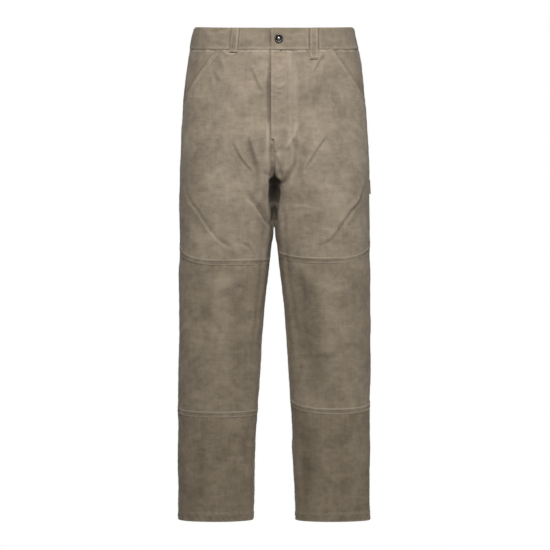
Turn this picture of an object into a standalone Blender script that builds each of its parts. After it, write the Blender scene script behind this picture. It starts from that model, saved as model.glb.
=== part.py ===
"""Double-knee work jeans in dyed cotton canvas, filled out and hollow as when worn.

Metres, +Z up. The front faces -Y and the wearer's left leg lies at +X. The origin is the
middle of the waist, level with the waistband's top edge at the side seams. Every piece of
cloth is cut from one form: a waist that forks into two tubes, read from SECTIONS.
"""

import math
from typing import NamedTuple

import bpy
import numpy as np

FRONT, BACK = -1, 1
RIGHT, LEFT = -1, 1
SIDE_NAMES = {RIGHT: "right", LEFT: "left"}
MM = 0.001

# Cloth and its seams
WALL = 1.5 * MM
SEAM = 0.3 * MM
ROUNDNESS = 2.2  # exponent of the sections' outer half: 2 is an ellipse, more is squarer
BACK_SQUARENESS = 0.4  # how much of the inner half's extra squareness the back has
END_CROWDING = 6  # the higher, the fewer columns are bent by the crotch

# Lengths down the garment
WAISTBAND_HEIGHT = 44.5 * MM
CROTCH_DROP = 307 * MM
HEM_DROP = 1008.5 * MM
HEM_DEPTH = 18 * MM
FORK_START = {FRONT: 198 * MM, BACK: 160 * MM}
FORK_END_SLOPE = 0.35  # how fast the legs still part at the crotch, 1 being an even pace
FRONT_DIP = 11 * MM  # the waist is lower at the front
BACK_RISE = 7 * MM

# Waistband, two layers thick, its left end lapped over its right end
BAND_WALL = 2.4 * MM
BAND_LIFT = 1.0 * MM
LAP_PAST_CENTRE = 6 * MM
UNDERLAP = 26 * MM
LAP_LIFT = BAND_WALL + SEAM
LAP_FLAT = 32 * MM
LAP_SLOPE = 34 * MM

# Fly
FLY_DROP = 236 * MM  # where the lapped edge of the left front runs back to the centre line
FLY_SETTLED = 262 * MM  # where it is no longer raised
FLY_LIFT = WALL + 0.5 * MM
FLY_SLOPE = 26 * MM
ZIP_ROWS = slice(1, 11)  # which of THIGH_ROWS it runs along
ZIP_EDGES = (-15 * MM, 15 * MM)
ZIP_WALL = 1.0 * MM
ZIP_DEPTH = WALL + 0.9 * MM

# Slanted front pockets: the mouth runs from the waistband down to the side seam
POCKET_ACROSS = 115 * MM
POCKET_SLANT = 0.66  # metres outwards for each metre down
POCKET_BOW = 3 * MM
POCKET_END = 153 * MM
FACING_UNDER = 0.20  # how far the facing runs on under the front, as a share of the front
FACING_DEPTH = WALL + 1.1 * MM
FACING_HIDDEN = 0.2 * MM  # its depth at the side seam, where no front lies over it
FACING_RUN = (9 * MM, 27 * MM)  # how far past the mouth it starts and ends to rise
FACING_COLUMNS = 11

# Knee seams: a flat-felled band over each join
FELL_HALF = 6 * MM
FELL_WALL = 1.0 * MM
FELL_REACH = 150 * MM  # how far from a seam its curve still bends the rows of the panels

# Belt loops
LOOP_WIDTH = 14.5 * MM
LOOP_WALL = 1.6 * MM
LOOP_BOW = 2.0 * MM

# Button
BUTTON_ACROSS = 9 * MM
BUTTON_DROP = 22 * MM
BUTTON_RADIUS = 8.4 * MM
BUTTON_SHANK = 3.0 * MM
BUTTON_STEPS = 24

# Side tab, a folded strip sewn into the left side seam
TAB_TOP, TAB_BOTTOM = 313 * MM, 341 * MM
TAB_OUT = 4.2 * MM
TAB_SLANT = 1.8 * MM
TAB_WALL = 1.6 * MM

# Grid of the cloth
FRONT_COLUMNS = 15
BACK_COLUMNS = 12
BAND_STEP = 18 * MM


class Section(NamedTuple):
    """One level of the form, in metres from the centre line or the side seams' plane.

    inner is the exponent of the half beside the other leg.
    """

    drop: float
    half_width: float
    gap: float
    front: float
    back: float
    inner: float


class FlyDip(NamedTuple):
    """How far the right front falls back beside the fly's edge at a drop, in millimetres."""

    drop: float
    depth: float
    width: float


class Fold(NamedTuple):
    """A soft ridge or trough. The path is in millimetres: across (+ to the wearer's left), drop."""

    face: int
    half_width: float
    rise: float
    path: tuple


class KneeSeam(NamedTuple):
    """A seam across a front leg: its drop in the middle, and how far its ends rise."""

    name: str
    side: int
    drop: float
    outer_rise: float
    inner_rise: float


class Loop(NamedTuple):
    """A belt loop: where its top and bottom are across, and how far down it ends."""

    name: str
    face: int
    top: float
    bottom: float
    drop: float


SECTIONS = (
    Section(-0.012, 0.1616, 0.0000, 0.0970, 0.1030, 2.2),
    Section(0.000, 0.1638, 0.0000, 0.0980, 0.1045, 2.2),
    Section(0.045, 0.1722, 0.0000, 0.1020, 0.1130, 2.2),
    Section(0.100, 0.1800, 0.0000, 0.1080, 0.1280, 2.2),
    Section(0.160, 0.1868, 0.0000, 0.1130, 0.1410, 2.2),
    Section(0.225, 0.1905, 0.0000, 0.1140, 0.1450, 2.8),
    Section(CROTCH_DROP, 0.1937, 0.0000, 0.1045, 0.1320, 4.8),
    Section(0.360, 0.1937, 0.0003, 0.0990, 0.1170, 3.3),
    Section(0.425, 0.1937, 0.0020, 0.0935, 0.1040, 2.6),
    Section(0.450, 0.1939, 0.0060, 0.0910, 0.0990, 2.4),
    Section(0.487, 0.1948, 0.0095, 0.0880, 0.0930, 2.2),
    Section(0.530, 0.1957, 0.0150, 0.0845, 0.0870, 2.2),
    Section(0.610, 0.1957, 0.0236, 0.0780, 0.0780, 2.2),
    Section(0.672, 0.1957, 0.0277, 0.0740, 0.0740, 2.2),
    Section(0.754, 0.1957, 0.0328, 0.0690, 0.0705, 2.2),
    Section(0.836, 0.1957, 0.0379, 0.0645, 0.0665, 2.2),
    Section(0.938, 0.1957, 0.0420, 0.0600, 0.0595, 2.2),
    Section(HEM_DROP, 0.1957, 0.0441, 0.0575, 0.0550, 2.2),
)

FLY_DIPS = (
    FlyDip(50, 0.6, 3.5),
    FlyDip(80, 1.6, 5.0),
    FlyDip(120, 3.4, 7.0),
    FlyDip(175, 3.6, 8.0),
    FlyDip(215, 2.6, 6.0),
    FlyDip(246, 0.0, 4.0),
)

KNEE_SEAMS = (
    KneeSeam("upper", RIGHT, 0.4827, 0.036, 0.005),
    KneeSeam("lower", RIGHT, 0.7906, 0.009, 0.004),
    KneeSeam("upper", LEFT, 0.4787, 0.036, 0.019),
    KneeSeam("lower", LEFT, 0.7840, 0.014, 0.021),
)

BELT_LOOPS = (
    Loop("front_right", FRONT, -0.0775, -0.0815, 0.050),
    Loop("front_left", FRONT, 0.0790, 0.0790, 0.064),
    Loop("back_right", BACK, -0.1020, -0.1040, 0.056),
    Loop("back_centre", BACK, 0.0000, 0.0000, 0.056),
    Loop("back_left", BACK, 0.1020, 0.1040, 0.056),
)

FOLDS = (
    # Thigh creases, from the side seam down towards the knee
    Fold(FRONT, 15, 7.0, ((-187, 318), (-158, 375), (-122, 423), (-74, 455))),
    Fold(FRONT, 15, 7.0, ((190, 318), (158, 377), (121, 428), (78, 455))),
    Fold(FRONT, 13, -4.0, ((-160, 352), (-132, 382), (-106, 405))),
    Fold(FRONT, 13, -4.0, ((164, 350), (137, 382), (108, 404))),
    # Creases that run into the crotch
    Fold(FRONT, 10, -9.0, ((-51, 246), (-45, 280), (-34, 320), (-31, 362))),
    Fold(FRONT, 10, -5.0, ((-82, 258), (-62, 284), (-40, 311))),
    Fold(FRONT, 9, -7.5, ((41, 250), (45, 272), (34, 303), (18, 322))),
    Fold(FRONT, 14, -7.5, ((72, 226), (62, 262), (46, 305), (29, 344))),
    Fold(FRONT, 10, -4.0, ((102, 240), (80, 268), (58, 302))),
    Fold(FRONT, 12, 4.0, ((-66, 300), (-58, 340), (-55, 380))),
    # The hollow between the thighs
    Fold(FRONT, 24, -8.0, ((-4, 312), (-3, 335), (-2.5, 365), (-2, 395))),
    Fold(FRONT, 24, -8.0, ((5, 312), (4, 335), (3, 365), (2, 395))),
    # Hips
    Fold(FRONT, 12, -5.0, ((-52, 82), (-41, 110), (-20, 149))),
    Fold(FRONT, 13, -3.5, ((-127, 92), (-116, 122))),
    Fold(FRONT, 12, -4.0, ((104, 62), (88, 90), (79, 106))),
    Fold(FRONT, 28, -6.5, ((102, 104), (96, 140), (104, 180))),
    # Long soft hollows of the knees and shins
    Fold(FRONT, 22, -5.0, ((-72, 512), (-70, 620), (-66, 760))),
    Fold(FRONT, 26, -7.0, ((46, 505), (52, 620), (58, 750))),
    Fold(FRONT, 20, -5.0, ((-62, 810), (-66, 890), (-72, 975))),
    Fold(FRONT, 22, -5.0, ((60, 812), (64, 900), (70, 975))),
    Fold(FRONT, 18, -3.5, ((142, 820), (140, 900), (146, 970))),
    # Seat and back of the legs
    Fold(BACK, 16, -7.5, ((-30, 300), (-72, 322), (-128, 318), (-165, 300))),
    Fold(BACK, 16, -7.5, ((28, 304), (76, 326), (126, 314), (166, 296))),
    Fold(BACK, 13, 5.5, ((-44, 330), (-88, 352), (-140, 350))),
    Fold(BACK, 13, 5.5, ((42, 336), (92, 356), (142, 344))),
    Fold(BACK, 22, -4.0, ((-70, 90), (-62, 130), (-34, 178))),
    Fold(BACK, 22, -4.0, ((74, 86), (64, 128), (32, 174))),
    Fold(BACK, 13, -7.0, ((-34, 556), (-80, 574), (-132, 566), (-178, 540))),
    Fold(BACK, 13, -7.0, ((36, 560), (84, 572), (134, 560), (178, 536))),
    Fold(BACK, 12, -5.5, ((-52, 622), (-104, 640), (-160, 618))),
    Fold(BACK, 12, -5.5, ((50, 616), (100, 636), (158, 622))),
    Fold(BACK, 22, -5.5, ((-112, 400), (-104, 450), (-110, 510))),
    Fold(BACK, 22, -5.5, ((108, 404), (112, 452), (106, 506))),
    Fold(BACK, 24, -5.5, ((-132, 700), (-124, 800), (-128, 930))),
    Fold(BACK, 24, -5.5, ((128, 706), (126, 804), (132, 936))),
)

THIGH_ROWS = (44.8, 62, 80, 98, 118, 134, 145, 150, 153, 166, 182, 198)
BACK_ROWS = (44.8, 70, 94, 118, 142, 160, 179, 198)
THIGH_END_ROWS = (322, 340, 358, 377, 396, 414, 432, 450, 467)
KNEE_ROWS = 11
SHIN_ROWS = 8
BACK_LEG_ROW = 25 * MM
FORK_ROWS = 7


def column(name, drop):
    """One column of SECTIONS at any drop, joined up smoothly and without overshoot."""
    levels = np.array([section.drop for section in SECTIONS])
    values = np.array([getattr(section, name) for section in SECTIONS])
    steps = np.diff(levels)
    slopes = np.diff(values) / steps
    before, after = slopes[:-1], slopes[1:]
    turning = before * after > 0
    tangents = np.concatenate([slopes[:1], np.zeros(len(steps) - 1), slopes[-1:]])
    tangents[1:-1][turning] = (2 * before * after)[turning] / (before + after)[turning]
    at = np.clip(drop, levels[0], levels[-1])
    i = np.clip(np.searchsorted(levels, at) - 1, 0, len(steps) - 1)
    f = (at - levels[i]) / steps[i]
    left = values[i] * (1 + 2 * f) + steps[i] * tangents[i] * f
    right = values[i + 1] * (3 - 2 * f) - steps[i] * tangents[i + 1] * (1 - f)
    return left * (1 - f) ** 2 + right * f**2


def section_oval(face, drop):
    """Middle, reach and depth of the left oval at a drop, and how far the legs have parted.

    Above the fork both ovals share the middle of the body and end at the centre line. They
    part as the fork runs down, and from the crotch on each is a whole leg.
    """
    width = column("half_width", drop)
    depth = column("front" if face == FRONT else "back", drop)
    down = np.clip((drop - FORK_START[face]) / (CROTCH_DROP - FORK_START[face]), 0, 1)
    fork = down**2 * (3 - FORK_END_SLOPE - (2 - FORK_END_SLOPE) * down)
    reach = (width - column("gap", drop)) / (1 + fork)
    return width - reach, reach, depth, fork


def squareness(face, inside, drop):
    """The exponent of the section, which differs on the half beside the other leg."""
    inner = column("inner", drop)
    if face == BACK:
        inner = ROUNDNESS + (inner - ROUNDNESS) * BACK_SQUARENESS
    return np.where(inside, inner, ROUNDNESS)


def angle_of(face, share, drop):
    """The angle round the oval at a share of the way from the side seam to the oval's end.

    The columns of a grid spread evenly, and only those near the end follow the crotch.
    """
    fork = section_oval(face, drop)[3]
    spread = (1 + fork) * math.pi / 2
    end = np.arccos(-(fork ** (squareness(face, True, drop) / 2)))
    return share * spread + (end - spread) * share**END_CROWDING


def angle_at(face, across, drop):
    """The angle round the oval at a distance across."""
    middle, reach, _, _ = section_oval(face, drop)
    cosine = np.clip((across - middle) / reach, -1, 1)
    power = squareness(face, cosine < 0, drop) / 2
    return np.arccos(np.sign(cosine) * np.abs(cosine) ** power)


def share_at(face, across, drop):
    """The share of the way to the centre line at a distance across, above the fork."""
    return angle_at(face, across, drop) / (math.pi / 2)


def form(face, angle, drop):
    """Points of the left half of the form, and the level directions that point out of it."""
    middle, reach, depth, _ = section_oval(face, drop)
    cosine, sine = np.cos(angle), np.sin(angle)
    power = 2 / squareness(face, cosine < 0, drop)
    x = middle + reach * np.sign(cosine) * np.abs(cosine) ** power
    y = face * depth * np.abs(sine) ** power
    power = 2 - power
    outward = np.stack(
        [
            np.sign(cosine) * np.abs(cosine) ** power / reach,
            face * np.abs(sine) ** power / depth,
            np.zeros_like(x),
        ],
        axis=-1,
    )
    outward /= np.linalg.norm(outward, axis=-1, keepdims=True)
    return np.stack([x, y, -drop], axis=-1), outward


def form_across(face, across, drop):
    """The form at a distance across, on either side of the centre line."""
    points, outward = form(face, angle_at(face, np.abs(across), drop), drop)
    turn = np.where(across < 0, -1.0, 1.0)
    points[..., 0] *= turn
    outward[..., 0] *= turn * np.clip(np.abs(across) / LAP_PAST_CENTRE, 0, 1)
    return points, outward / np.linalg.norm(outward, axis=-1, keepdims=True)


def smooth_path(path, steps=8):
    """Points along a smooth curve through a short path."""
    path = np.array(path, float)
    ends = np.vstack([2 * path[0] - path[1], path, 2 * path[-1] - path[-2]])
    f = np.linspace(0, 1, steps, endpoint=False)[:, None]
    stretches = []
    for before, start, end, after in zip(ends, ends[1:], ends[2:], ends[3:]):
        bend = 2 * before - 5 * start + 4 * end - after
        turn = 3 * (start - end) + after - before
        stretches.append(start + 0.5 * f * (end - before + f * (bend + f * turn)))
    return np.vstack([*stretches, path[-1:]])


def fold_lift(points):
    """How far the folds raise each point of the form, in metres."""
    lift = np.zeros(points.shape[:-1])
    for fold in FOLDS:
        across, drop = smooth_path(fold.path).T * MM
        line, _ = form_across(fold.face, across, drop)
        nearest = np.full(lift.shape, np.inf)
        along = np.zeros(lift.shape)
        for i, (start, end) in enumerate(zip(line, line[1:])):
            stretch = end - start
            f = np.clip((points - start) @ stretch / (stretch @ stretch), 0, 1)
            away = np.linalg.norm(points - start - f[..., None] * stretch, axis=-1)
            closer = away < nearest
            nearest = np.where(closer, away, nearest)
            along = np.where(closer, (i + f) / (len(line) - 1), along)
        fade = np.sqrt(np.clip(4 * along * (1 - along), 0, 1))
        lift += fold.rise * MM * fade * np.exp(-((nearest / (fold.half_width * MM)) ** 2))
    return lift


def row_drop(side, face, share, drop):
    """Where a row runs: it dips or rises at the waist, and follows the knee seams' curves."""
    towards_middle = np.sin(np.minimum(share, 1) * math.pi / 2)
    fade = np.clip((0.2 - drop) / (0.2 - WAISTBAND_HEIGHT), 0, 1)
    dip = FRONT_DIP if face == FRONT else -BACK_RISE
    curved = drop + dip * towards_middle * fade**2 * (3 - 2 * fade)
    if face == BACK:
        return curved
    for seam in KNEE_SEAMS:
        if seam.side == side:
            near = np.clip(1 - ((drop - seam.drop) / FELL_REACH) ** 2, 0, 1) ** 2
            outer = seam.outer_rise * np.clip(1 - 2 * share, 0, 1) ** 2.3
            inner = seam.inner_rise * np.clip(2 * share - 1, 0, 1) ** 1.8
            curved = curved - (outer + inner) * near
    return curved


def cloth(side, face, share, drop, lift=0.0, wall=WALL):
    """Outer and inner points of a piece on one half of the form, kept off the next pieces."""
    drop = row_drop(side, face, share, drop)
    points, outward = form(face, angle_of(face, share, drop), drop)
    points[..., 0] *= side
    outward[..., 0] *= side
    outer = points + outward * (fold_lift(points) + lift)[..., None]
    grids = outer, outer - outward * np.broadcast_to(wall, share.shape)[..., None]
    for grid in grids:
        grid[..., 0] = side * np.maximum(side * grid[..., 0], SEAM / 2)
        keep_off_side_seam(grid, face)
    return grids


def keep_off_side_seam(grid, face):
    """Keeps the points of a grid half a seam's gap on its own side of the side seams."""
    grid[..., 1] = face * np.maximum(face * grid[..., 1], SEAM / 2)


def cloth_across(face, across, drop, lift, wall):
    """Outer and inner points of a piece that is laid out by distance across."""
    drop = row_drop(LEFT, face, share_at(face, np.abs(across), drop), drop)
    points, outward = form_across(face, across, drop)
    outer = points + outward * (fold_lift(points) + lift)[..., None]
    return outer, outer - outward * np.broadcast_to(wall, across.shape)[..., None]


def finish(name, colour, roughness, metallic=0.0):
    """A material from a colour as seen on a screen, 0 to 255."""
    made = bpy.data.materials.new(name)
    made.use_nodes = True
    shader = made.node_tree.nodes["Principled BSDF"]
    linear = [((value / 255 + 0.055) / 1.055) ** 2.4 for value in colour]
    shader.inputs["Base Color"].default_value = (*linear, 1)
    shader.inputs["Roughness"].default_value = roughness
    shader.inputs["Metallic"].default_value = metallic
    return made


def add_object(name, mesh, material):
    """Names a mesh as a piece of the garment, with smooth faces between sharp edges."""
    piece = bpy.data.objects.new(name, mesh)
    mesh.materials.append(material)
    mesh.shade_smooth()
    mesh.set_sharp_from_angle(angle=math.radians(40))
    garment.objects.link(piece)
    return piece


def loft(name, outer, inner, material):
    """A closed wall between two grids of points, with a rim along all four edges."""
    rows, columns = outer.shape[:2]
    points = np.concatenate([outer.reshape(-1, 3), inner.reshape(-1, 3)])
    index = np.arange(2 * rows * columns).reshape(2, rows, columns)
    top, bottom = index
    faces = []
    for i in range(rows - 1):
        for j in range(columns - 1):
            corners = [(i, j), (i + 1, j), (i + 1, j + 1), (i, j + 1)]
            faces.append([top[c] for c in corners])
            faces.append([bottom[c] for c in reversed(corners)])
    edge = [(i, 0) for i in range(rows - 1)]
    edge += [(rows - 1, j) for j in range(columns - 1)]
    edge += [(i, columns - 1) for i in range(rows - 1, 0, -1)]
    edge += [(0, j) for j in range(columns - 1, 0, -1)]
    for here, following in zip(edge, edge[1:] + edge[:1]):
        faces.append([top[following], top[here], bottom[here], bottom[following]])
    mesh = bpy.data.meshes.new(name)
    mesh.from_pydata(points.tolist(), [], [[int(v) for v in face] for face in faces])
    triangles = np.array([[f[0], f[k], f[k + 1]] for f in faces for k in (1, 2)])
    if np.linalg.det(points[triangles]).sum() < 0:
        mesh.flip_normals()
    return add_object(name, mesh, material)


def grid_of(starts, ends, drops, columns):
    """Grids of shares and drops: each row runs evenly from its start to its end."""
    f = np.linspace(0, 1, columns + 1)
    drops = np.array(drops)[:, None] + 0 * f
    starts, ends = (np.broadcast_to(v, len(drops))[:, None] for v in (starts, ends))
    return starts + (ends - starts) * f, drops


def fork_drops():
    """Rows from the front fork to the crotch, closer together where the fork turns level."""
    f = np.sin(np.linspace(0, math.pi / 2, FORK_ROWS + 1)[1:])
    return FORK_START[FRONT] + (CROTCH_DROP - FORK_START[FRONT]) * f


def thigh_drops(side):
    """The rows of a front thigh, from the waistband to the upper knee seam."""
    last = knee_seam("upper", side).drop - SEAM / 2
    upper, lower = np.array(THIGH_ROWS) * MM, np.array(THIGH_END_ROWS) * MM
    return np.concatenate([upper, fork_drops(), lower, [last]])


def knee_seam(name, side):
    """The seam with this name on this side."""
    return next(s for s in KNEE_SEAMS if (s.name, s.side) == (name, side))


def pocket_mouth(drop):
    """How far across the pocket's mouth is at a drop, bowed a little towards the hip."""
    down = np.clip((drop - WAISTBAND_HEIGHT) / (POCKET_END - WAISTBAND_HEIGHT), 0, 1)
    bow = POCKET_BOW * np.sin(math.pi * down)
    return POCKET_ACROSS + POCKET_SLANT * (drop - WAISTBAND_HEIGHT) + bow


def make_thigh_front(side):
    """The front from the waistband to the knee, cut away along the pocket's mouth."""
    drops = thigh_drops(side)
    starts = np.where(drops < POCKET_END, share_at(FRONT, pocket_mouth(drops), drops), 0)
    shares, drops = grid_of(starts, 1, drops, FRONT_COLUMNS)
    if side == RIGHT:
        dip = fly_dip(-form(FRONT, angle_of(FRONT, shares, drops), drops)[0][..., 0], drops)
        outer, inner = cloth(side, FRONT, shares, drops, lift=-dip)
    else:
        outer, inner = lapped_front(shares, drops)
    loft(f"thigh_front_{SIDE_NAMES[side]}", outer, inner, canvas)


def fly_dip(across, drop):
    """How far the cloth beside and under the fly's edge falls back, in metres."""
    levels = [dip.drop * MM for dip in FLY_DIPS]
    depth = np.interp(drop, levels, [dip.depth * MM for dip in FLY_DIPS])
    width = np.interp(drop, levels, [dip.width * MM for dip in FLY_DIPS])
    away = np.maximum(-LAP_PAST_CENTRE - across, 0) / width
    return depth * np.exp(-(away**2)) * rounded_step((16 * MM - across) / (8 * MM))


def lapped_front(shares, drops):
    """The left front, whose edge is raised and lies past the centre line along the fly."""
    outer, inner = cloth(LEFT, FRONT, shares, drops)
    lapped = drops[:, 0] < FLY_SETTLED
    past = np.where(drops[lapped][:, :1] < FLY_DROP, LAP_PAST_CENTRE, -SEAM / 2)
    across = np.abs(outer[lapped][..., 0])
    start = across[:, :1]
    stretched = start - (start - across) * (start + past) / start
    lift = FLY_LIFT * rounded_step(1 - stretched / FLY_SLOPE)
    outer[lapped], inner[lapped] = cloth_across(FRONT, stretched, drops[lapped], lift, WALL)
    for grid in (outer, inner):
        keep_off_side_seam(grid, FRONT)
    return outer, inner


def rounded_step(value):
    """0 up to 0 and 1 from 1 on, with a smooth step between."""
    value = np.clip(value, 0, 1)
    return value**2 * (3 - 2 * value)


def make_lower_front(side):
    """The knee and shin panels of one leg, the shin turned up inside at the hem."""
    upper, lower = (knee_seam(name, side).drop for name in ("upper", "lower"))
    knee = np.linspace(upper + SEAM / 2, lower - SEAM / 2, KNEE_ROWS + 1)
    shares, drops = grid_of(0, 1, knee, FRONT_COLUMNS)
    loft(f"knee_front_{SIDE_NAMES[side]}", *cloth(side, FRONT, shares, drops), canvas)
    shin = np.linspace(lower + SEAM / 2, HEM_DROP - HEM_DEPTH, SHIN_ROWS + 1)
    shares, drops = grid_of(0, 1, with_hem(shin), FRONT_COLUMNS)
    grids = cloth(side, FRONT, shares, drops, wall=hem_wall(drops))
    loft(f"shin_front_{SIDE_NAMES[side]}", *grids, canvas)


def with_hem(drops):
    """Rows that end at the hem's turning, with those of the turned-up hem after them."""
    return np.concatenate([drops, [drops[-1] + MM, HEM_DROP]])


def hem_wall(drops):
    """The wall's thickness, doubled where the hem is turned up inside."""
    return np.where(drops > HEM_DROP - HEM_DEPTH + MM / 2, 2 * WALL, WALL)


def make_back(side):
    """The back of one leg in a single length, from the waistband to the hem."""
    upper = np.array(BACK_ROWS) * MM
    count = round((HEM_DROP - HEM_DEPTH - CROTCH_DROP) / BACK_LEG_ROW)
    leg = np.linspace(CROTCH_DROP, HEM_DROP - HEM_DEPTH, count + 1)[1:]
    rows = with_hem(np.concatenate([upper, fork_drops(), leg]))
    shares, drops = grid_of(0, 1, rows, BACK_COLUMNS)
    grids = cloth(side, BACK, shares, drops, wall=hem_wall(drops))
    loft(f"back_{SIDE_NAMES[side]}", *grids, canvas)


def make_pocket_facing(side):
    """The cloth that shows in the pocket's mouth, let in under the front."""
    drops = np.append(np.array([d * MM for d in THIGH_ROWS if d * MM < POCKET_END]), POCKET_END)
    ends = share_at(FRONT, pocket_mouth(drops), drops) + FACING_UNDER
    shares, drops = grid_of(0, ends, drops, FACING_COLUMNS)
    across = form(FRONT, angle_of(FRONT, shares, drops), drops)[0][..., 0]
    past = across - pocket_mouth(drops) - FACING_RUN[0]
    rise = rounded_step(past / (FACING_RUN[1] - FACING_RUN[0]))
    lift = -FACING_DEPTH + (FACING_DEPTH - FACING_HIDDEN) * rise
    grids = cloth(side, FRONT, shares, drops, lift=lift)
    loft(f"pocket_facing_{SIDE_NAMES[side]}", *grids, facing_canvas)


def make_knee_seams():
    """A felled band over each join of the front legs."""
    for seam in KNEE_SEAMS:
        rows = seam.drop + FELL_HALF * np.array([-1, -0.4, 0.4, 1])
        shares, drops = grid_of(0, 1, rows, FRONT_COLUMNS)
        crown = np.array([0.5, 1, 1, 0.5])[:, None] * FELL_WALL
        grids = cloth(seam.side, FRONT, shares, drops, lift=SEAM + crown, wall=crown + 0 * shares)
        loft(f"knee_seam_{seam.name}_{SIDE_NAMES[seam.side]}", *grids, seam_canvas)


def band_lap(along):
    """How far the waistband's left end is raised over its right end, by distance from its edge."""
    return LAP_LIFT * rounded_step((LAP_FLAT + LAP_SLOPE - along) / LAP_SLOPE)


def make_waistband():
    """One band from the lapped left end, round the back, to the right end under the lap."""
    stretches = []
    for side, face in ((LEFT, FRONT), (LEFT, BACK), (RIGHT, BACK), (RIGHT, FRONT)):
        past = LAP_PAST_CENTRE if side == LEFT else UNDERLAP
        edge = -past if face == FRONT else 0.0
        reach = column("half_width", WAISTBAND_HEIGHT / 2)
        turn = np.linspace(0, 1, round((reach + 0.06) / BAND_STEP) + 1)
        shares = turn if (side == LEFT) == (face == BACK) else turn[::-1]
        stretches.append(band_stretch(side, face, shares, edge))
    outer, inner = (np.concatenate(grids, axis=1) for grids in zip(*stretches))
    loft("waistband", outer, inner, canvas)


def band_stretch(side, face, shares, edge):
    """A quarter of the waistband. Next to the fly it is laid out by distance to its edge."""
    rows = np.array([0, 0.36, 0.7, 1])[:, None] * WAISTBAND_HEIGHT
    shares, drops = shares + 0 * rows, rows + 0 * shares
    points, _ = form(face, shares * math.pi / 2, drops)
    across = points[..., 0]
    widest = column("half_width", drops)
    across = across if face == BACK else widest - (widest - across) * (widest - edge) / widest
    lift = BAND_LIFT + (band_lap(across - edge) if (side, face) == (LEFT, FRONT) else 0)
    outer, inner = cloth_across(face, across, drops, lift + 0 * across, BAND_WALL)
    outer[..., 0] *= side
    inner[..., 0] *= side
    keep = slice(None) if face == FRONT else slice(1, -1) if side == LEFT else slice(0, -1)
    return outer[:, keep], inner[:, keep]


def make_belt_loops():
    """Loops over the waistband, seated at both ends and a little proud between them."""
    for loop in BELT_LOOPS:
        f = np.linspace(0, 1, 7)[:, None]
        width = np.array([-0.5, 0, 0.5]) * LOOP_WIDTH
        across = loop.top + (loop.bottom - loop.top) * f + width
        drops = (MM + (loop.drop - MM) * f) + 0 * width
        bow = LOOP_BOW * np.sin(math.pi * f) ** 0.6
        lift = BAND_LIFT + SEAM + bow + LOOP_WALL + 0 * across
        grids = cloth_across(loop.face, across, drops, lift, LOOP_WALL)
        loft(f"belt_loop_{loop.name}", *grids, seam_canvas)


def make_fly_zip():
    """The closed zip's tapes, flat behind the fly."""
    across = np.linspace(*ZIP_EDGES, 5)[None, :]
    drops = np.array(THIGH_ROWS[ZIP_ROWS])[:, None] * MM
    across, drops = across + 0 * drops, drops + 0 * across
    lift = -ZIP_DEPTH - fly_dip(np.maximum(across, 0), drops)
    grids = cloth_across(FRONT, across, drops, lift, ZIP_WALL)
    loft("fly_zip", *grids, zip_tape)


def make_button():
    """A turned shank button: rim, sunk ring and a bright domed middle."""
    cap = BUTTON_SHANK - MM
    profile = [
        (0, cap + 2.9 * MM),
        (2.2 * MM, cap + 2.4 * MM),
        (3.2 * MM, cap + 1.6 * MM),
        (5.6 * MM, cap + 1.6 * MM),
        (6.6 * MM, cap + 2.6 * MM),
        (7.7 * MM, cap + 2.5 * MM),
        (BUTTON_RADIUS, cap + 1.5 * MM),
        (BUTTON_RADIUS - 0.7 * MM, cap),
        (BUTTON_SHANK, cap - 0.4 * MM),
        (BUTTON_SHANK, 0),
        (0, 0),
    ]
    mesh = bpy.data.meshes.new("waist_button")
    edges = [(i, i + 1) for i in range(len(profile) - 1)]
    mesh.from_pydata([(r, 0, h) for r, h in profile], edges, [])
    button = add_object("waist_button", mesh, blackened_metal)
    turn = button.modifiers.new("Turned", "SCREW")
    turn.steps = turn.render_steps = BUTTON_STEPS
    turn.use_merge_vertices = True
    turn.merge_threshold = 0.00001
    turn.use_smooth_shade = True
    drop = row_drop(LEFT, FRONT, np.array(1.0), np.array(BUTTON_DROP))
    seat, _ = form_across(FRONT, np.array(BUTTON_ACROSS), drop)
    button.location = (seat[0], seat[1] - BAND_LIFT - LAP_LIFT - SEAM, seat[2])
    button.rotation_euler = (math.pi / 2, 0, 0)


def make_side_tab():
    """A folded strip that stands out of the left side seam, its lower edge slanted."""
    mesh = bpy.data.meshes.new("side_tab")
    inner = column("half_width", TAB_TOP) + SEAM
    outline = [
        (inner, -TAB_TOP),
        (inner + TAB_OUT - TAB_SLANT, -TAB_TOP),
        (inner + TAB_OUT, -TAB_BOTTOM - TAB_SLANT),
        (inner, -TAB_BOTTOM),
    ]
    points = [(x, 0, z) for x, z in outline]
    mesh.from_pydata(points, [], [(0, 1, 2, 3)])
    tab = add_object("side_tab", mesh, seam_canvas)
    fold = tab.modifiers.new("Folded strip", "SOLIDIFY")
    fold.thickness = TAB_WALL
    fold.offset = 0
    edge = tab.modifiers.new("Soft edges", "BEVEL")
    edge.width = 0.4 * MM
    edge.segments = 2


for leftover in list(bpy.data.objects):
    bpy.data.objects.remove(leftover, do_unlink=True)

garment = bpy.data.collections.new("work_jeans")
bpy.context.scene.collection.children.link(garment)

canvas = finish("Dyed canvas", (141, 129, 111), 0.92)
facing_canvas = finish("Pocket facing canvas", (128, 117, 99), 0.92)
seam_canvas = finish("Frosted seam canvas", (152, 140, 122), 0.92)
zip_tape = finish("Zip tape", (96, 87, 72), 0.8)
blackened_metal = finish("Blackened metal", (38, 37, 36), 0.35, 0.9)

for wearer_side in (RIGHT, LEFT):
    make_thigh_front(wearer_side)
    make_lower_front(wearer_side)
    make_back(wearer_side)
    make_pocket_facing(wearer_side)
make_knee_seams()
make_waistband()
make_belt_loops()
make_fly_zip()
make_button()
make_side_tab()
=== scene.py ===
"""Looks of the double-knee work jeans: cloth, creases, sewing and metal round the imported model.

Metres, +Z up. The front faces -Y and the wearer's left leg lies at +X. Every piece of cloth
is cut from the same worn form as its CAD solid, then creased, puckered, frosted and sewn.
"""

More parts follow.
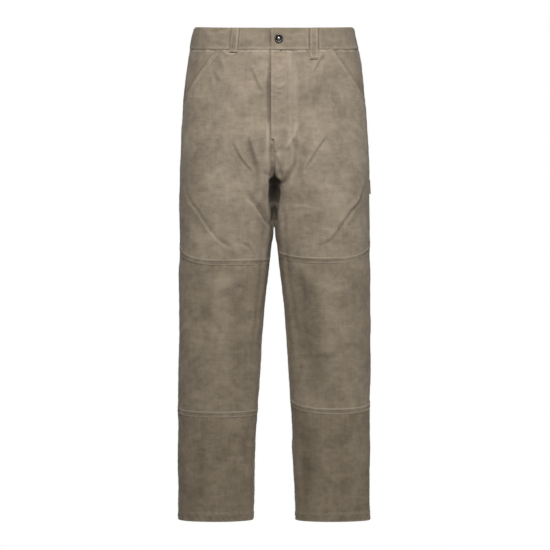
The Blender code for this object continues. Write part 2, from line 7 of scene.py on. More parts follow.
import logging
import math
from collections.abc import Iterable
from dataclasses import dataclass, field
from enum import Enum
from itertools import product

import bpy
import numpy as np
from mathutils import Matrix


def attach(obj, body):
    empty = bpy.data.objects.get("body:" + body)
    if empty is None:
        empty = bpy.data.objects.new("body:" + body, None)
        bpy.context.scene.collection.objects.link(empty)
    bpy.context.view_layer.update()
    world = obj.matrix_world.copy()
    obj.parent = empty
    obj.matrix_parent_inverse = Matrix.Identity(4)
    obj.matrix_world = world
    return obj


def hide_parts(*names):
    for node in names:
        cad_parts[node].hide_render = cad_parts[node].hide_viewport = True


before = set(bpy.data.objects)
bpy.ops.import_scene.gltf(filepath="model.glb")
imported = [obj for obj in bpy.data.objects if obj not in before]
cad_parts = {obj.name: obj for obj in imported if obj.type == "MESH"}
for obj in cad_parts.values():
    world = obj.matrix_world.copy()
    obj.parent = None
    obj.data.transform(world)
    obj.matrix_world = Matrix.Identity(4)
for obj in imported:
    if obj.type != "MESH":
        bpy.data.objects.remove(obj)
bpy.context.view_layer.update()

BODY = "root"
MM = 0.001
BAND_BOTTOM = 44.5 * MM
CLOTH_TOP = 44.8 * MM
INSEAM_ROWS = (2.2 * MM, 8.6 * MM)
BACK_SEAM_ROWS = (2.2 * MM, 8.2 * MM)

log = logging.getLogger("jeans")

Array = np.ndarray
Socket = bpy.types.NodeSocket


class Side(Enum):
    """A side of the wearer's body, valued by the sign of X there."""

    RIGHT = -1
    LEFT = 1


class Face(Enum):
    """The front or back of the body, valued by the sign of Y there."""

    FRONT = -1
    BACK = 1


class Edge(Enum):
    """An edge of a patch: where its rows start or end, its first row or its last."""

    START = "start"
    END = "end"
    TOP = "top"
    BOTTOM = "bottom"


class Held(Enum):
    """How a sheet of cloth is held."""

    HUNG = "hung"


@dataclass(frozen=True)
class Section:
    """One level of the worn form, in metres from the centre line or the side seams' plane.

    inner is how square the half beside the other leg is, 2 being an ellipse.
    """

    drop: float
    half_width: float
    gap: float
    front: float
    back: float
    inner: float


@dataclass(frozen=True)
class Crease:
    """A trough or ridge in the cloth, in millimetres.

    A trough has a negative rise, and gets shade painted in it by its depth. bank is the share of
    the rise that the cloth beside it moves the other way, on its left as the path runs, or on its
    right if negative. worn is how far the raised line is rubbed pale, or if negative how much
    shade is painted along the path instead.
    """

    face: Face
    half_width: float
    rise: float
    bank: float
    worn: float
    path: tuple[tuple[float, float], ...]


@dataclass(frozen=True)
class KneeSeam:
    """A seam across a front leg: its drop in the middle, and how far its ends rise."""

    name: str
    side: Side
    drop: float
    outer_rise: float
    inner_rise: float


@dataclass(frozen=True)
class Loop:
    """A belt loop: where its top and bottom are across, and how far down it ends."""

    name: str
    face: Face
    top: float
    bottom: float
    drop: float


@dataclass(frozen=True)
class SeamEdge:
    """What sewing does to the cloth beside one edge of a piece, in millimetres.

    strip is the width of a felled strip and raised its thickness. roll turns the raw edge
    down. The puckers run in from the edge, as far as reach, about pitch apart. frost is how
    pale the edge is worn, and also how much shade is painted in the troughs of its puckers;
    frost_reach is how far in the edge is worn. shadow is how much shade is painted beside the
    edge or the strip.
    """

    strip: float = 0.0
    raised: float = 0.0
    roll: float = 0.35
    pucker: float = 0.0
    pitch: float = 10.0
    reach: float = 10.0
    slant: float = 0.0
    frost_and_pucker_shade: float = 0.0
    frost_reach: float = 3.0
    shadow: float = 0.0


SECTIONS = tuple(Section(*row) for row in (
    (-0.012, 0.1616, 0.0000, 0.0970, 0.1030, 2.2),
    (0.000, 0.1638, 0.0000, 0.0980, 0.1045, 2.2),
    (0.045, 0.1722, 0.0000, 0.1020, 0.1130, 2.2),
    (0.100, 0.1800, 0.0000, 0.1080, 0.1280, 2.2),
    (0.160, 0.1868, 0.0000, 0.1130, 0.1410, 2.2),
    (0.225, 0.1905, 0.0000, 0.1140, 0.1450, 2.8),
    (0.307, 0.1937, 0.0000, 0.1045, 0.1320, 4.8),
    (0.360, 0.1937, 0.0003, 0.0990, 0.1170, 3.3),
    (0.425, 0.1937, 0.0020, 0.0935, 0.1040, 2.6),
    (0.450, 0.1939, 0.0060, 0.0910, 0.0990, 2.4),
    (0.487, 0.1948, 0.0095, 0.0880, 0.0930, 2.2),
    (0.530, 0.1957, 0.0150, 0.0845, 0.0870, 2.2),
    (0.610, 0.1957, 0.0236, 0.0780, 0.0780, 2.2),
    (0.672, 0.1957, 0.0277, 0.0740, 0.0740, 2.2),
    (0.754, 0.1957, 0.0328, 0.0690, 0.0705, 2.2),
    (0.836, 0.1957, 0.0379, 0.0645, 0.0665, 2.2),
    (0.938, 0.1957, 0.0420, 0.0600, 0.0595, 2.2),
    (1.0085, 0.1957, 0.0441, 0.0575, 0.0550, 2.2),
))

KNEE_SEAMS = (
    KneeSeam("upper", Side.RIGHT, 0.4827, 0.036, 0.005),
    KneeSeam("lower", Side.RIGHT, 0.7906, 0.009, 0.004),
    KneeSeam("upper", Side.LEFT, 0.4787, 0.036, 0.019),
    KneeSeam("lower", Side.LEFT, 0.7840, 0.014, 0.021),
)

BELT_LOOPS = (
    Loop("front_right", Face.FRONT, -0.0775, -0.0815, 0.050),
    Loop("front_left", Face.FRONT, 0.0790, 0.0790, 0.064),
    Loop("back_right", Face.BACK, -0.1020, -0.1040, 0.056),
    Loop("back_centre", Face.BACK, 0.0000, 0.0000, 0.056),
    Loop("back_left", Face.BACK, 0.1020, 0.1040, 0.056),
)

FRONT, BACK = Face.FRONT, Face.BACK

# Each row is a crease's half width, rise, bank and worn, then the points of its path
CREASE_ROWS = (
    (FRONT, (
        # Hips and pockets
        (5, -2.4, 0.6, 0.6, (-52, 83), (-42, 109), (-32, 131), (-20, 148)),
        (7, -1.8, 0.4, 0.3, (-126, 94), (-118, 113), (-114, 123)),
        (12, -2.0, 0.3, 0.0, (-102, 118), (-100, 142), (-97, 170)),
        (24, -3.5, 0.0, 0.0, (102, 100), (96, 140), (104, 182)),
        (5, -3.0, -0.6, 0.8, (106, 60), (93, 79), (86, 94), (80, 104)),
        (5, 1.2, 0.2, 0.7, (-48, 50), (-28, 54), (-9, 61)),
        (6, 1.0, 0.2, 0.4, (-112, 64), (-102, 84), (-98, 108)),
        (7, -1.2, 0.3, 0.2, (60, 74), (56, 110), (58, 150)),
        # Puckers under the waistband and the belt loops
        (2.6, 1.0, 0.0, 0.9, (5, 53), (9, 58), (13, 53), (18, 58), (23, 54)),
        (2.8, 1.0, 0.0, 1.0, (-104, 53), (-98, 60), (-88, 64), (-80, 62), (-76, 55)),
        (2.5, 1.0, 0.0, 0.9, (71, 60), (75, 69), (82, 68), (89, 62)),
        # Creases that run into the crotch
        (6, -5.0, 0.5, 0.6, (-56, 222), (-52, 244), (-45, 268), (-36, 297), (-34, 320), (-35, 345),
         (-40, 368)),
        (3.6, -2.2, 0.6, 0.7, (-86, 240), (-80, 251), (-72, 268), (-61, 284), (-46, 300), (-36, 316)),
        (6, -3.6, -0.6, 0.6, (-56, 342), (-46, 355), (-35, 367), (-25, 380), (-12, 402), (-6, 414)),
        (5.5, -5.6, -0.5, 0.6, (34, 224), (44, 252), (44, 280), (36, 299), (21, 317), (2, 332)),
        (4, -2.4, 0.4, 0.4, (7, 272), (13, 296), (17, 322)),
        (10, -2.2, -0.3, 0.2, (64, 120), (60, 165), (57, 200), (50, 240)),
        (8, -3.6, -0.4, 0.4, (76, 208), (68, 236), (59, 262), (51, 290), (44, 312), (36, 340)),
        (4, -2.8, -0.6, 0.7, (110, 224), (98, 242), (86, 260), (72, 282), (56, 306)),
        (4, 1.0, 0.0, 0.8, (34, 372), (56, 369), (80, 373)),
        (5, -2.0, 0.4, 0.3, (-24, 222), (-27, 258), (-26, 286), (-24, 312)),
        (5, 1.8, 0.0, 1.3, (-12, 196), (-13, 228), (-14, 262), (-14, 300), (-13, 330)),
        (11, 2.6, 0.0, 0.2, (-22, 262), (-20, 300), (-20, 350)),
        (6, 1.5, 0.2, 0.9, (48, 190), (42, 220), (28, 246), (16, 258)),
        (6, 1.3, 0.2, 0.6, (8, 254), (11, 280), (9, 306)),
        (10, 1.4, 0.0, 0.4, (40, 60), (41, 130), (43, 196)),
        # The hollow between the thighs, with shade painted in it, and the twisted inseam beside it
        (14, -3.8, 0.0, -1.2, (-2, 309), (-2, 325), (-2, 345), (-1.5, 372)),
        (18, -5.2, 0.0, -1.0, (5, 309), (4, 325), (3, 345), (2, 372)),
        (15, -2.4, 0.0, -1.4, (-2.5, 328), (-2.5, 352), (-2, 385), (-1.5, 412)),
        (15, -2.4, 0.0, -1.4, (3, 328), (3, 352), (2, 385), (1.5, 412)),
    )),
    (BACK, (
        # Shade painted on the backs of the thighs, seen in the hollow between the legs
        (20, 4.0, 0.0, -3.0, (-2.2, 312), (-2.2, 340), (-2.2, 375), (-2.2, 412)),
        (20, 4.0, 0.0, -3.0, (2.2, 312), (2.2, 340), (2.2, 375), (2.2, 412)),
        (22, 0.0, 0.0, -2.0, (-3, 385), (-4, 412), (-5, 440)),
        (22, 0.0, 0.0, -2.0, (3, 385), (4, 412), (5, 440)),
    )),
    (FRONT, (
        # Shade painted under the crotch's front point and along the seam below the fly, then ridges
        (5, -1.5, 0.0, -0.7, (-22, 299), (-16, 305), (-9, 309)),
        (2.6, -1.2, 0.0, -0.6, (-6, 244), (-6, 262), (-6.5, 285), (-6, 304)),
        (8, 3.4, 0.0, 0.5, (7, 256), (8, 276), (8, 296), (6, 316)),
        (6, 2.6, 0.0, 0.3, (-4, 268), (-4, 292), (-4, 318)),
        (4.5, 1.6, 0.0, 1.1, (-18, 303), (-16, 330), (-15, 360), (-12, 392)),
        # Thigh creases, from the side seam down towards the knee
        (3.6, -1.3, -0.3, 0.4, (-188, 306), (-172, 356), (-156, 379), (-124, 424), (-98, 447),
         (-74, 454)),
        (4.4, -2.4, -0.7, 0.8, (191, 300), (173, 358), (157, 379), (122, 430), (104, 444), (78, 454)),
        (18, -2.5, 0.0, 0.0, (-178, 362), (-150, 408), (-128, 440)),
        (18, -2.5, 0.0, 0.0, (182, 362), (156, 408), (132, 440)),
        (4.5, -1.6, 0.5, 0.4, (-71, 442), (-53, 450), (-42, 463), (-34, 472)),
        (16, 2.5, 0.0, 0.0, (-66, 318), (-72, 360), (-76, 410)),
        (20, 2.5, 0.0, 0.0, (92, 318), (88, 360), (84, 410)),
        # Hollows beside the inseams, which turn the felled strips to the front
        (7, -1.6, 0.5, 0.0, (-14, 330), (-17, 400), (-22, 452), (-27, 520), (-40, 640), (-48, 760)),
        (7, -1.6, -0.5, 0.0, (16, 330), (19, 400), (23, 452), (28, 520), (41, 640), (49, 760)),
        (8, -1.6, 0.5, 0.0, (-50, 800), (-54, 860), (-57, 930), (-60, 1000)),
        (8, -1.6, -0.5, 0.0, (50, 795), (54, 860), (57, 930), (60, 1000)),
        # Cloudy wear, with shade painted in soft troughs and darker towards the hems
        (20, -4.0, 0.0, 0.0, (112, 84), (126, 140), (148, 210)),
        (28, -4.0, 0.0, 0.0, (96, 660), (104, 730), (110, 800)),
        # Shade painted darker towards the hems, as the light falls off
        (60, 0.0, 0.0, -0.14, (-180, 985), (-120, 990), (-60, 985)),
        (60, 0.0, 0.0, -0.14, (60, 985), (120, 990), (180, 985)),
        (9, -1.0, 0.0, -0.4, (-34, 368), (-24, 384), (-14, 402)),
        (12, 1.6, 0.0, 0.4, (25, 256), (25, 282), (22, 306)),
        (22, 1.2, 0.0, 0.4, (-156, 512), (-112, 522), (-68, 516)),
        (20, 1.2, 0.0, 0.35, (-104, 396), (-84, 436), (-58, 468)),
        # Knees
        (22, -3.5, 0.0, 0.0, (-72, 512), (-70, 620), (-66, 760)),
        (26, -6.5, 0.0, 0.0, (52, 488), (56, 620), (64, 775)),
        (22, 2.2, 0.0, 0.3, (104, 490), (110, 620), (110, 760)),
        (28, 1.4, 0.0, 0.25, (-108, 490), (-104, 600), (-100, 730)),
        (10, -2.0, 0.4, 0.1, (50, 492), (52, 530), (48, 590)),
        (16, 2.2, 0.0, 0.1, (-128, 520), (-124, 600), (-118, 690)),
        (16, 2.0, 0.0, 0.1, (112, 560), (118, 640), (114, 720)),
        (12, -2.0, 0.3, 0.0, (-160, 560), (-132, 600), (-92, 622)),
        (11, -1.8, 0.3, 0.1, (158, 640), (124, 672), (88, 684)),
        (9, -1.6, 0.3, 0.1, (-60, 520), (-92, 548), (-120, 556)),
        # Shins
        (20, -3.5, 0.0, 0.0, (-62, 810), (-66, 890), (-72, 975)),
        (18, -3.5, 0.0, 0.0, (62, 806), (64, 900), (70, 975)),
        (18, -3.0, 0.0, 0.0, (142, 812), (140, 900), (146, 970)),
        (11, -2.2, 0.3, 0.1, (-76, 812), (-92, 866), (-122, 905)),
        (14, 2.2, 0.0, 0.1, (100, 812), (104, 880), (100, 950)),
        (12, -1.8, 0.3, 0.0, (-158, 836), (-150, 900), (-158, 960)),
    )),
    (BACK, (
        # Seat
        (15, -5.5, 0.3, 0.2, (-26, 300), (-72, 322), (-128, 318), (-170, 298)),
        (15, -5.5, -0.3, 0.2, (26, 304), (76, 326), (126, 314), (170, 294)),
        (11, 3.5, 0.2, 0.2, (-44, 332), (-88, 352), (-140, 350)),
        (11, 3.5, 0.2, 0.2, (42, 338), (92, 356), (142, 344)),
        (22, -3.0, 0.0, 0.0, (-70, 90), (-62, 130), (-34, 178)),
        (22, -3.0, 0.0, 0.0, (74, 86), (64, 128), (32, 174)),
        (7, -2.2, 0.5, 0.5, (-14, 262), (-48, 286), (-96, 288)),
        (7, -2.2, -0.5, 0.5, (14, 266), (52, 290), (92, 284)),
        (6, -1.8, 0.5, 0.5, (-118, 66), (-108, 88), (-84, 112)),
        (6, -1.8, -0.5, 0.5, (122, 64), (108, 92), (90, 110)),
        # Backs of the knees and calves
        (12, -5.0, 0.4, 0.3, (-34, 556), (-80, 574), (-132, 566), (-178, 540)),
        (12, -5.0, -0.4, 0.3, (36, 560), (84, 572), (134, 560), (178, 536)),
        (11, -4.0, 0.4, 0.3, (-52, 622), (-104, 640), (-160, 618)),
        (11, -4.0, -0.4, 0.3, (50, 616), (100, 636), (158, 622)),
        (8, -2.6, 0.4, 0.3, (-66, 598), (-112, 606), (-150, 592)),
        (8, -2.6, -0.4, 0.3, (60, 590), (104, 604), (142, 596)),
        (22, -4.0, 0.0, 0.0, (-112, 400), (-104, 450), (-110, 510)),
        (22, -4.0, 0.0, 0.0, (108, 404), (112, 452), (106, 506)),
        (24, -4.0, 0.0, 0.0, (-132, 700), (-124, 800), (-128, 930)),
        (24, -4.0, 0.0, 0.0, (128, 706), (126, 804), (132, 936)),
        (9, -2.4, 0.4, 0.2, (-70, 664), (-96, 720), (-98, 790)),
        (9, -2.4, -0.4, 0.2, (74, 668), (96, 728), (100, 800)),
        (8, -2.0, 0.4, 0.2, (-170, 860), (-142, 900), (-120, 920)),
        (8, -2.0, -0.4, 0.2, (168, 850), (146, 892), (118, 912)),
    )),
)

CREASES = tuple(
    Crease(face, *row[:4], row[4:]) for face, rows in CREASE_ROWS for row in rows
)


def rounded_step(value: Array) -> Array:
    """0 up to 0 and 1 from 1 on, with a smooth step between."""
    value = np.clip(value, 0, 1)
    return value**2 * (3 - 2 * value)


def unit(vectors: Array) -> Array:
    """The same directions at length 1."""
    return vectors / np.maximum(np.linalg.norm(vectors, axis=-1, keepdims=True), 1e-12)


def smooth_path(path: Iterable[tuple[float, float]], steps: int = 8) -> Array:
    """A smooth curve through a short path, each stretch cut into steps pieces."""
    path = np.array(path, float)
    ends = np.vstack([2 * path[0] - path[1], path, 2 * path[-1] - path[-2]])
    f = np.linspace(0, 1, steps, endpoint=False)[:, None]
    stretches = []
    for before, start, end, after in zip(ends, ends[1:], ends[2:], ends[3:]):
        bend = 2 * before - 5 * start + 4 * end - after
        turn = 3 * (start - end) + after - before
        stretches.append(start + 0.5 * f * (end - before + f * (bend + f * turn)))
    return np.vstack([*stretches, path[-1:]])


def scatter(cells: Array, seed: int) -> Array:
    """A fixed scatter of values from -1 to 1, one for each row of whole numbers."""
    primes = (73856093, 19349663, 83492791)
    mixed = np.full(cells.shape[:-1], seed * 2654435761 % 2147483647, np.int64)
    for axis in range(cells.shape[-1]):
        mixed ^= cells[..., axis] * primes[axis]
    for factor in (1274126177, 668265263):
        mixed = ((mixed ^ (mixed >> 15)) * factor) & 0x7FFFFFFF
    return (mixed ^ (mixed >> 13)) % 65536 / 32767.5 - 1


def value_noise(points: Array, cell: tuple[float, ...], seed: int) -> Array:
    """Smooth noise from -1 to 1 on cells of this size, the same wherever the point is."""
    at = points / np.array(cell)
    low = np.floor(at).astype(np.int64)
    f = rounded_step(at - low)
    total = np.zeros(at.shape[:-1])
    for corner in product((0, 1), repeat=len(cell)):
        corner = np.array(corner)
        weight = np.prod(np.where(corner == 1, f, 1 - f), axis=-1)
        total += weight * scatter(low + corner, seed)
    return total


def ripple(along: Array, pitch: float, seed: int) -> Array:
    """An uneven wave along a seam, from -1 to 1, whose crests are about a pitch apart."""
    fine = value_noise(along[..., None], (pitch / 2,), seed)
    coarse = value_noise(along[..., None], (pitch * 1.7,), seed + 1)
    return 0.75 * fine + 0.35 * coarse


def spaced(length: float, step: float) -> Array:
    """Shares of a length from 0 to 1, closer together near both ends where seams are sewn."""
    near = np.array([0, 0.8, 1.7, 2.7, 3.9, 5.3, 6.9, 8.7, 10.6, 12.6]) * MM
    room = length - 2 * near[-1]
    middle = np.linspace(0, 1, max(2, round(room / step)) + 1)[1:-1] * room + near[-1]
    return np.concatenate([near, middle, length - near[::-1]]) / length


def panel_grid(top: float, bottom: float, width: float, step: float) -> tuple[Array, ...]:
    """Shares across and drops down for the points of a whole panel, finer beside its seams."""
    drops = top + (bottom - top) * spaced(bottom - top, step)[:, None]
    shares = spaced(width, step)[None, :]
    return shares + 0 * drops, drops + 0 * shares


@dataclass(frozen=True)
class WornForm:
    """The form that the garment is cut on: a waist that forks into two tubes."""

    sections: tuple[Section, ...] = SECTIONS
    roundness: float = 2.2
    back_squareness: float = 0.4
    end_crowding: float = 6
    waistband_height: float = BAND_BOTTOM
    crotch_drop: float = 307 * MM
    hem_drop: float = 1008.5 * MM
    hem_depth: float = 18 * MM
    front_fork: float = 198 * MM
    back_fork: float = 160 * MM
    fork_end_slope: float = 0.35
    front_dip: float = 11 * MM
    back_rise: float = 7 * MM
    dip_end: float = 200 * MM
    seam_reach: float = 150 * MM
    turn_at_centre: float = 6 * MM
    inside_least: float = 15 * MM
    inside_part: float = 0.22
    fork_run: float = 90 * MM

    def column(self, name: str, drop: Array) -> Array:
        """One column of the sections at any drop, joined up smoothly."""
        levels = np.array([section.drop for section in self.sections])
        values = np.array([getattr(section, name) for section in self.sections])
        steps = np.diff(levels)
        slopes = np.diff(values) / steps
        before, after = slopes[:-1], slopes[1:]
        turning = before * after > 0
        tangents = np.concatenate([slopes[:1], np.zeros(len(steps) - 1), slopes[-1:]])
        tangents[1:-1][turning] = (2 * before * after)[turning] / (before + after)[turning]
        at = np.clip(drop, levels[0], levels[-1])
        i = np.clip(np.searchsorted(levels, at) - 1, 0, len(steps) - 1)
        f = (at - levels[i]) / steps[i]
        left = values[i] * (1 + 2 * f) + steps[i] * tangents[i] * f
        right = values[i + 1] * (3 - 2 * f) - steps[i] * tangents[i + 1] * (1 - f)
        return left * (1 - f) ** 2 + right * f**2

    def squareness(self, face: Face, inside: Array, drop: Array) -> Array:
        """The exponent of the section: plain outside, and as the sections say inside."""
        inner = self.column("inner", drop)
        if face is BACK:
            inner = self.roundness + (inner - self.roundness) * self.back_squareness
        return np.where(inside, inner, self.roundness)

    def oval(self, face: Face, drop: Array) -> tuple[Array, ...]:
        """The left oval's middle, reach and depth, and how far the legs have parted, 0 to 1."""
        width = self.column("half_width", drop)
        depth = self.column("front" if face is FRONT else "back", drop)
        start = self.front_fork if face is FRONT else self.back_fork
        down = np.clip((drop - start) / (self.crotch_drop - start), 0, 1)
        slope = self.fork_end_slope
        fork = down**2 * (3 - slope - (2 - slope) * down)
        reach = (width - self.column("gap", drop)) / (1 + fork)
        return width - reach, reach, depth, fork

    def angle_of(self, face: Face, share: Array, drop: Array) -> Array:
        """The angle round the oval at a share of the way from the side seam to its end."""
        fork = self.oval(face, drop)[3]
        spread = (1 + fork) * math.pi / 2
        end = np.arccos(-(fork ** (self.squareness(face, True, drop) / 2)))
        return share * spread + (end - spread) * share**self.end_crowding

    def angle_at(self, face: Face, across: Array, drop: Array) -> Array:
        """The angle round the oval at a distance across."""
        middle, reach, _, _ = self.oval(face, drop)
        cosine = np.clip((across - middle) / reach, -1, 1)
        power = self.squareness(face, cosine < 0, drop) / 2
        return np.arccos(np.sign(cosine) * np.abs(cosine) ** power)

    def evened(self, side: Side, face: Face, share: Array, drop: Array) -> Array:
        """Shares with the same ends, moved so that they are evenly far apart on the cloth.

        Near the fork a fixed part of them is kept for the cloth that turns in there.

        Args:
            side: The wearer's side.
            face: Front or back.
            share: Shares of the way from the side seam, a row of them for each drop.
            drop: Distances down along the side seam, the same all along a row.

        Returns:
            The moved shares.
        """
        start, span, level = share[:, :1], np.ptp(share, axis=1, keepdims=True), drop[:, :1]

        def angle(part: Array) -> tuple[Array, Array]:
            at = self.row(side, face, start + span * part, level + 0 * part)
            return self.angle_of(face, start + span * part, at), at

        low, high = np.zeros_like(start), np.ones_like(start)
        for _ in range(52):
            middle = (low + high) / 2
            before = angle(middle)[0] < math.pi / 2
            low, high = np.where(before, middle, low), np.where(before, high, middle)
        close = 10 ** np.linspace(-14, -2, 110)
        parts = (0 * low + np.linspace(0, 1, 320), low - close, low + close)
        parts = np.sort(np.clip(np.concatenate(parts, axis=1), 0, 1), axis=1)
        points, outward = self.surface(face, *angle(parts))
        run = np.cumsum(np.linalg.norm(np.diff(points, axis=1), axis=-1), axis=1)
        run = np.pad(run, ((0, 0), (1, 0)))
        whole = run[:, -1:]
        turned = -outward[..., 0] > np.abs(outward[..., 1])
        inside = whole - np.where(turned, run, whole).min(axis=1, keepdims=True)
        inside = np.maximum(inside, self.inside_least)
        even = self.inside_least / whole
        near_fork = rounded_step((level - self.crotch_drop) / self.fork_run + 1)
        kept = even + (self.inside_part - even) * near_fork
        asked = (share - start) / span
        before = asked / (1 - kept) * (whole - inside)
        placed = np.where(asked < 1 - kept, before, whole - inside * (1 - asked) / kept)
        moved = [np.interp(*line) for line in zip(placed, run, parts)]
        return start + span * np.array(moved)

    def share_at(self, face: Face, across: Array, drop: Array) -> Array:
        """The share of the way to the centre line at a distance across, above the fork."""
        return self.angle_at(face, across, drop) / (math.pi / 2)

    def surface(self, face: Face, angle: Array, drop: Array) -> tuple[Array, Array]:
        """Points of the left half of the form, and the level directions out of it there."""
        middle, reach, depth, _ = self.oval(face, drop)
        cosine, sine = np.cos(angle), np.sin(angle)
        power = 2 / self.squareness(face, cosine < 0, drop)
        x = middle + reach * np.sign(cosine) * np.abs(cosine) ** power
        y = face.value * depth * np.abs(sine) ** power
        power = 2 - power
        out_x = np.sign(cosine) * np.abs(cosine) ** power / reach
        out_y = face.value * np.abs(sine) ** power / depth
        outward = np.stack([out_x, out_y, np.zeros_like(x)], axis=-1)
        return np.stack([x, y, -drop], axis=-1), unit(outward)

    def surface_across(self, face: Face, across: Array, drop: Array) -> tuple[Array, Array]:
        """The form's points and outward directions at distances from the centre line."""
        points, outward = self.surface(face, self.angle_at(face, np.abs(across), drop), drop)
        turn = np.where(across < 0, -1.0, 1.0)
        points[..., 0] *= turn
        outward[..., 0] *= turn * np.clip(np.abs(across) / self.turn_at_centre, 0, 1)
        return points, unit(outward)

    def row(self, side: Side, face: Face, share: Array, drop: Array) -> Array:
        """Where a row of cloth runs: it dips or rises at the waist and follows the knee seams."""
        towards_middle = np.sin(np.minimum(share, 1) * math.pi / 2)
        fade = (self.dip_end - drop) / (self.dip_end - self.waistband_height)
        dip = self.front_dip if face is FRONT else -self.back_rise
        curved = drop + dip * towards_middle * rounded_step(fade)
        if face is BACK:
            return curved
        for seam in KNEE_SEAMS:
            if seam.side is side:
                near = np.clip(1 - ((drop - seam.drop) / self.seam_reach) ** 2, 0, 1) ** 2
                outer = seam.outer_rise * np.clip(1 - 2 * share, 0, 1) ** 2.3
                inner = seam.inner_rise * np.clip(2 * share - 1, 0, 1) ** 1.8
                curved = curved - (outer + inner) * near
        return curved


@dataclass
class Patch:
    """A grid of cloth on the form, and what its creases and sewing do to it.

    lift is how far each point stands off the form, wear how pale it is rubbed, and shade how
    much shade is painted into its colour there, in troughs, hollows, puckers and beside seams.
    """

    form_points: Array
    outward: Array
    across: Array
    drop: Array
    lift: Array
    wall: Array
    wear: Array
    shade: Array
    floor_x: float | None = None
    face: Face | None = None
    laps: dict[tuple[Edge, int], tuple[Array, float]] = field(default_factory=dict)

    SEAM = 0.15 * MM
    LAP = 0.8 * MM
    MEETING = (22 * MM, 0.8 * MM, 307 * MM)

    def edge_distance(self, edge: Edge) -> Array:
        """How far each point is from an edge, measured along the cloth."""
        axis = 1 if edge in (Edge.START, Edge.END) else 0
        steps = np.linalg.norm(np.diff(self.form_points, axis=axis), axis=-1)
        pad = [(0, 0), (0, 0)]
        pad[axis] = (1, 0)
        run = np.pad(np.cumsum(steps, axis=axis), pad)
        if edge in (Edge.START, Edge.TOP):
            return run
        return run.take([-1], axis=axis) - run

    def sew_edge(self, edge: Edge, seam: SeamEdge, seed: int, where: Array | float = 1) -> None:
        """Raises, puckers and frosts the cloth beside an edge, and paints shade in the puckers' troughs
        and beside the edge.

        Args:
            edge: Which edge.
            seam: What the sewing does there.
            seed: Picks the pattern of the puckers.
            where: 1 where it applies and 0 where it doesn't, for each point.
        """
        away = self.edge_distance(edge) / MM
        level = edge in (Edge.TOP, Edge.BOTTOM)
        along = self.edge_distance(Edge.START if level else Edge.TOP) / MM
        wave = ripple(along + seam.slant * away, seam.pitch, seed)
        near = np.exp(-((away / seam.reach) ** 1.5))
        step = rounded_step((seam.strip - away) / 1.6) if seam.strip else 0.0
        lift = seam.raised * step - seam.roll * np.exp(-away / 1.2) + seam.pucker * wave * near
        self.lift += lift * MM * where
        worn = np.exp(-((away / seam.frost_reach) ** 2))
        if seam.strip:
            worn = np.maximum(worn, 0.9 * np.exp(-(((away - seam.strip) / 1.6) ** 2)))
        ridges = np.clip(wave, 0, 1) * near * min(seam.pucker, 1)
        self.wear += seam.frost_and_pucker_shade * (worn * (0.75 + 0.4 * wave) + 0.7 * ridges) * where
        # Shade painted beside the edge or the strip, and in the puckers' troughs
        dark = np.exp(-(((away - (seam.strip + 1.4 if seam.strip else 0)) / 1.5) ** 2))
        dark = seam.shadow * dark * (0.8 - 0.35 * wave)
        self.shade += (seam.frost_and_pucker_shade * np.clip(-wave, 0, 1) * near * 0.3 + dark) * where

    def outer(self) -> Array:
        """The points of the outer side."""
        return self._kept(self.form_points + self.outward * self.lift[..., None], 0.0)

    def inner(self) -> Array:
        """The points of the inner side."""
        points = self.form_points + self.outward * (self.lift - self.wall)[..., None]
        return self._kept(points, 0.6 * self.wall)

    def _kept(self, points: Array, deep: Array | float) -> Array:
        """The points of one side, kept half a seam's gap on their own side of the seams."""
        if self.floor_x is not None:
            sign = 1 if self.floor_x > 0 else -1
            wavy = self.MEETING[1] * np.sin(points[..., 1] * 2 * math.pi / self.MEETING[0])
            between = rounded_step(points[..., 1] / self.MEETING[0]) * (self.drop > self.MEETING[2])
            meeting = wavy * between
            least = np.where(between > 0, self.SEAM / 2 + deep, abs(self.floor_x))
            clear = np.maximum(sign * (points[..., 0] - meeting), least)
            points[..., 0] = sign * clear + meeting
        if self.face is not None:
            sign = self.face.value
            points[..., 1] = sign * np.maximum(sign * points[..., 1], self.SEAM)
        for (edge, axis), (rows, sign) in self.laps.items():
            points[rows, 0 if edge is Edge.START else -1, axis] = -sign * self.LAP
        return points

    def lap(self, edge: Edge, rows: Array, crotch: float) -> None:
        """Lets these rows of an edge run on over its neighbour, past the centre above the crotch."""
        above = (self.drop[:, -1] < crotch) & (edge is Edge.END)
        side = np.sign(self.form_points[-1, -1, 0])
        self.laps[edge, 0] = (rows & above, side)
        self.laps[edge, 1] = (rows & ~above, self.face.value)

    def traced(self, path: Iterable[tuple[float, float]]) -> tuple[Array, Array]:
        """The rows and columns, as fractions, of a smooth path across and down in millimetres."""
        rows, columns = [], []
        count = self.drop.shape[1]
        for across, drop in smooth_path(path) * MM:
            column = count / 2
            for _ in range(4):
                j = int(np.clip(round(column), 0, count - 1))
                row = np.interp(drop, self.drop[:, j], np.arange(len(self.drop)))
                line = self.across[int(round(row))]
                order = np.argsort(line)
                column = np.interp(across, line[order], np.arange(count)[order])
            rows.append(row)
            columns.append(column)
        return np.array(rows), np.array(columns)

    def beside(
        self, edge: Edge, away: float, start: float = 0.0, end: float = 1.0
    ) -> tuple[Array, Array]:
        """The rows and columns, as fractions, of a line beside an edge, along a share of it."""
        distance = self.edge_distance(edge)
        if edge in (Edge.TOP, Edge.BOTTOM):
            distance = distance.T
        count = len(distance)
        lines = np.arange(round(start * (count - 1)), round(end * (count - 1)) + 1)
        places = []
        for i in lines:
            order = np.argsort(distance[i])
            places.append(np.interp(away, distance[i][order], order.astype(float)))
        places = np.array(places)
        return (lines, places) if edge in (Edge.START, Edge.END) else (places, lines)


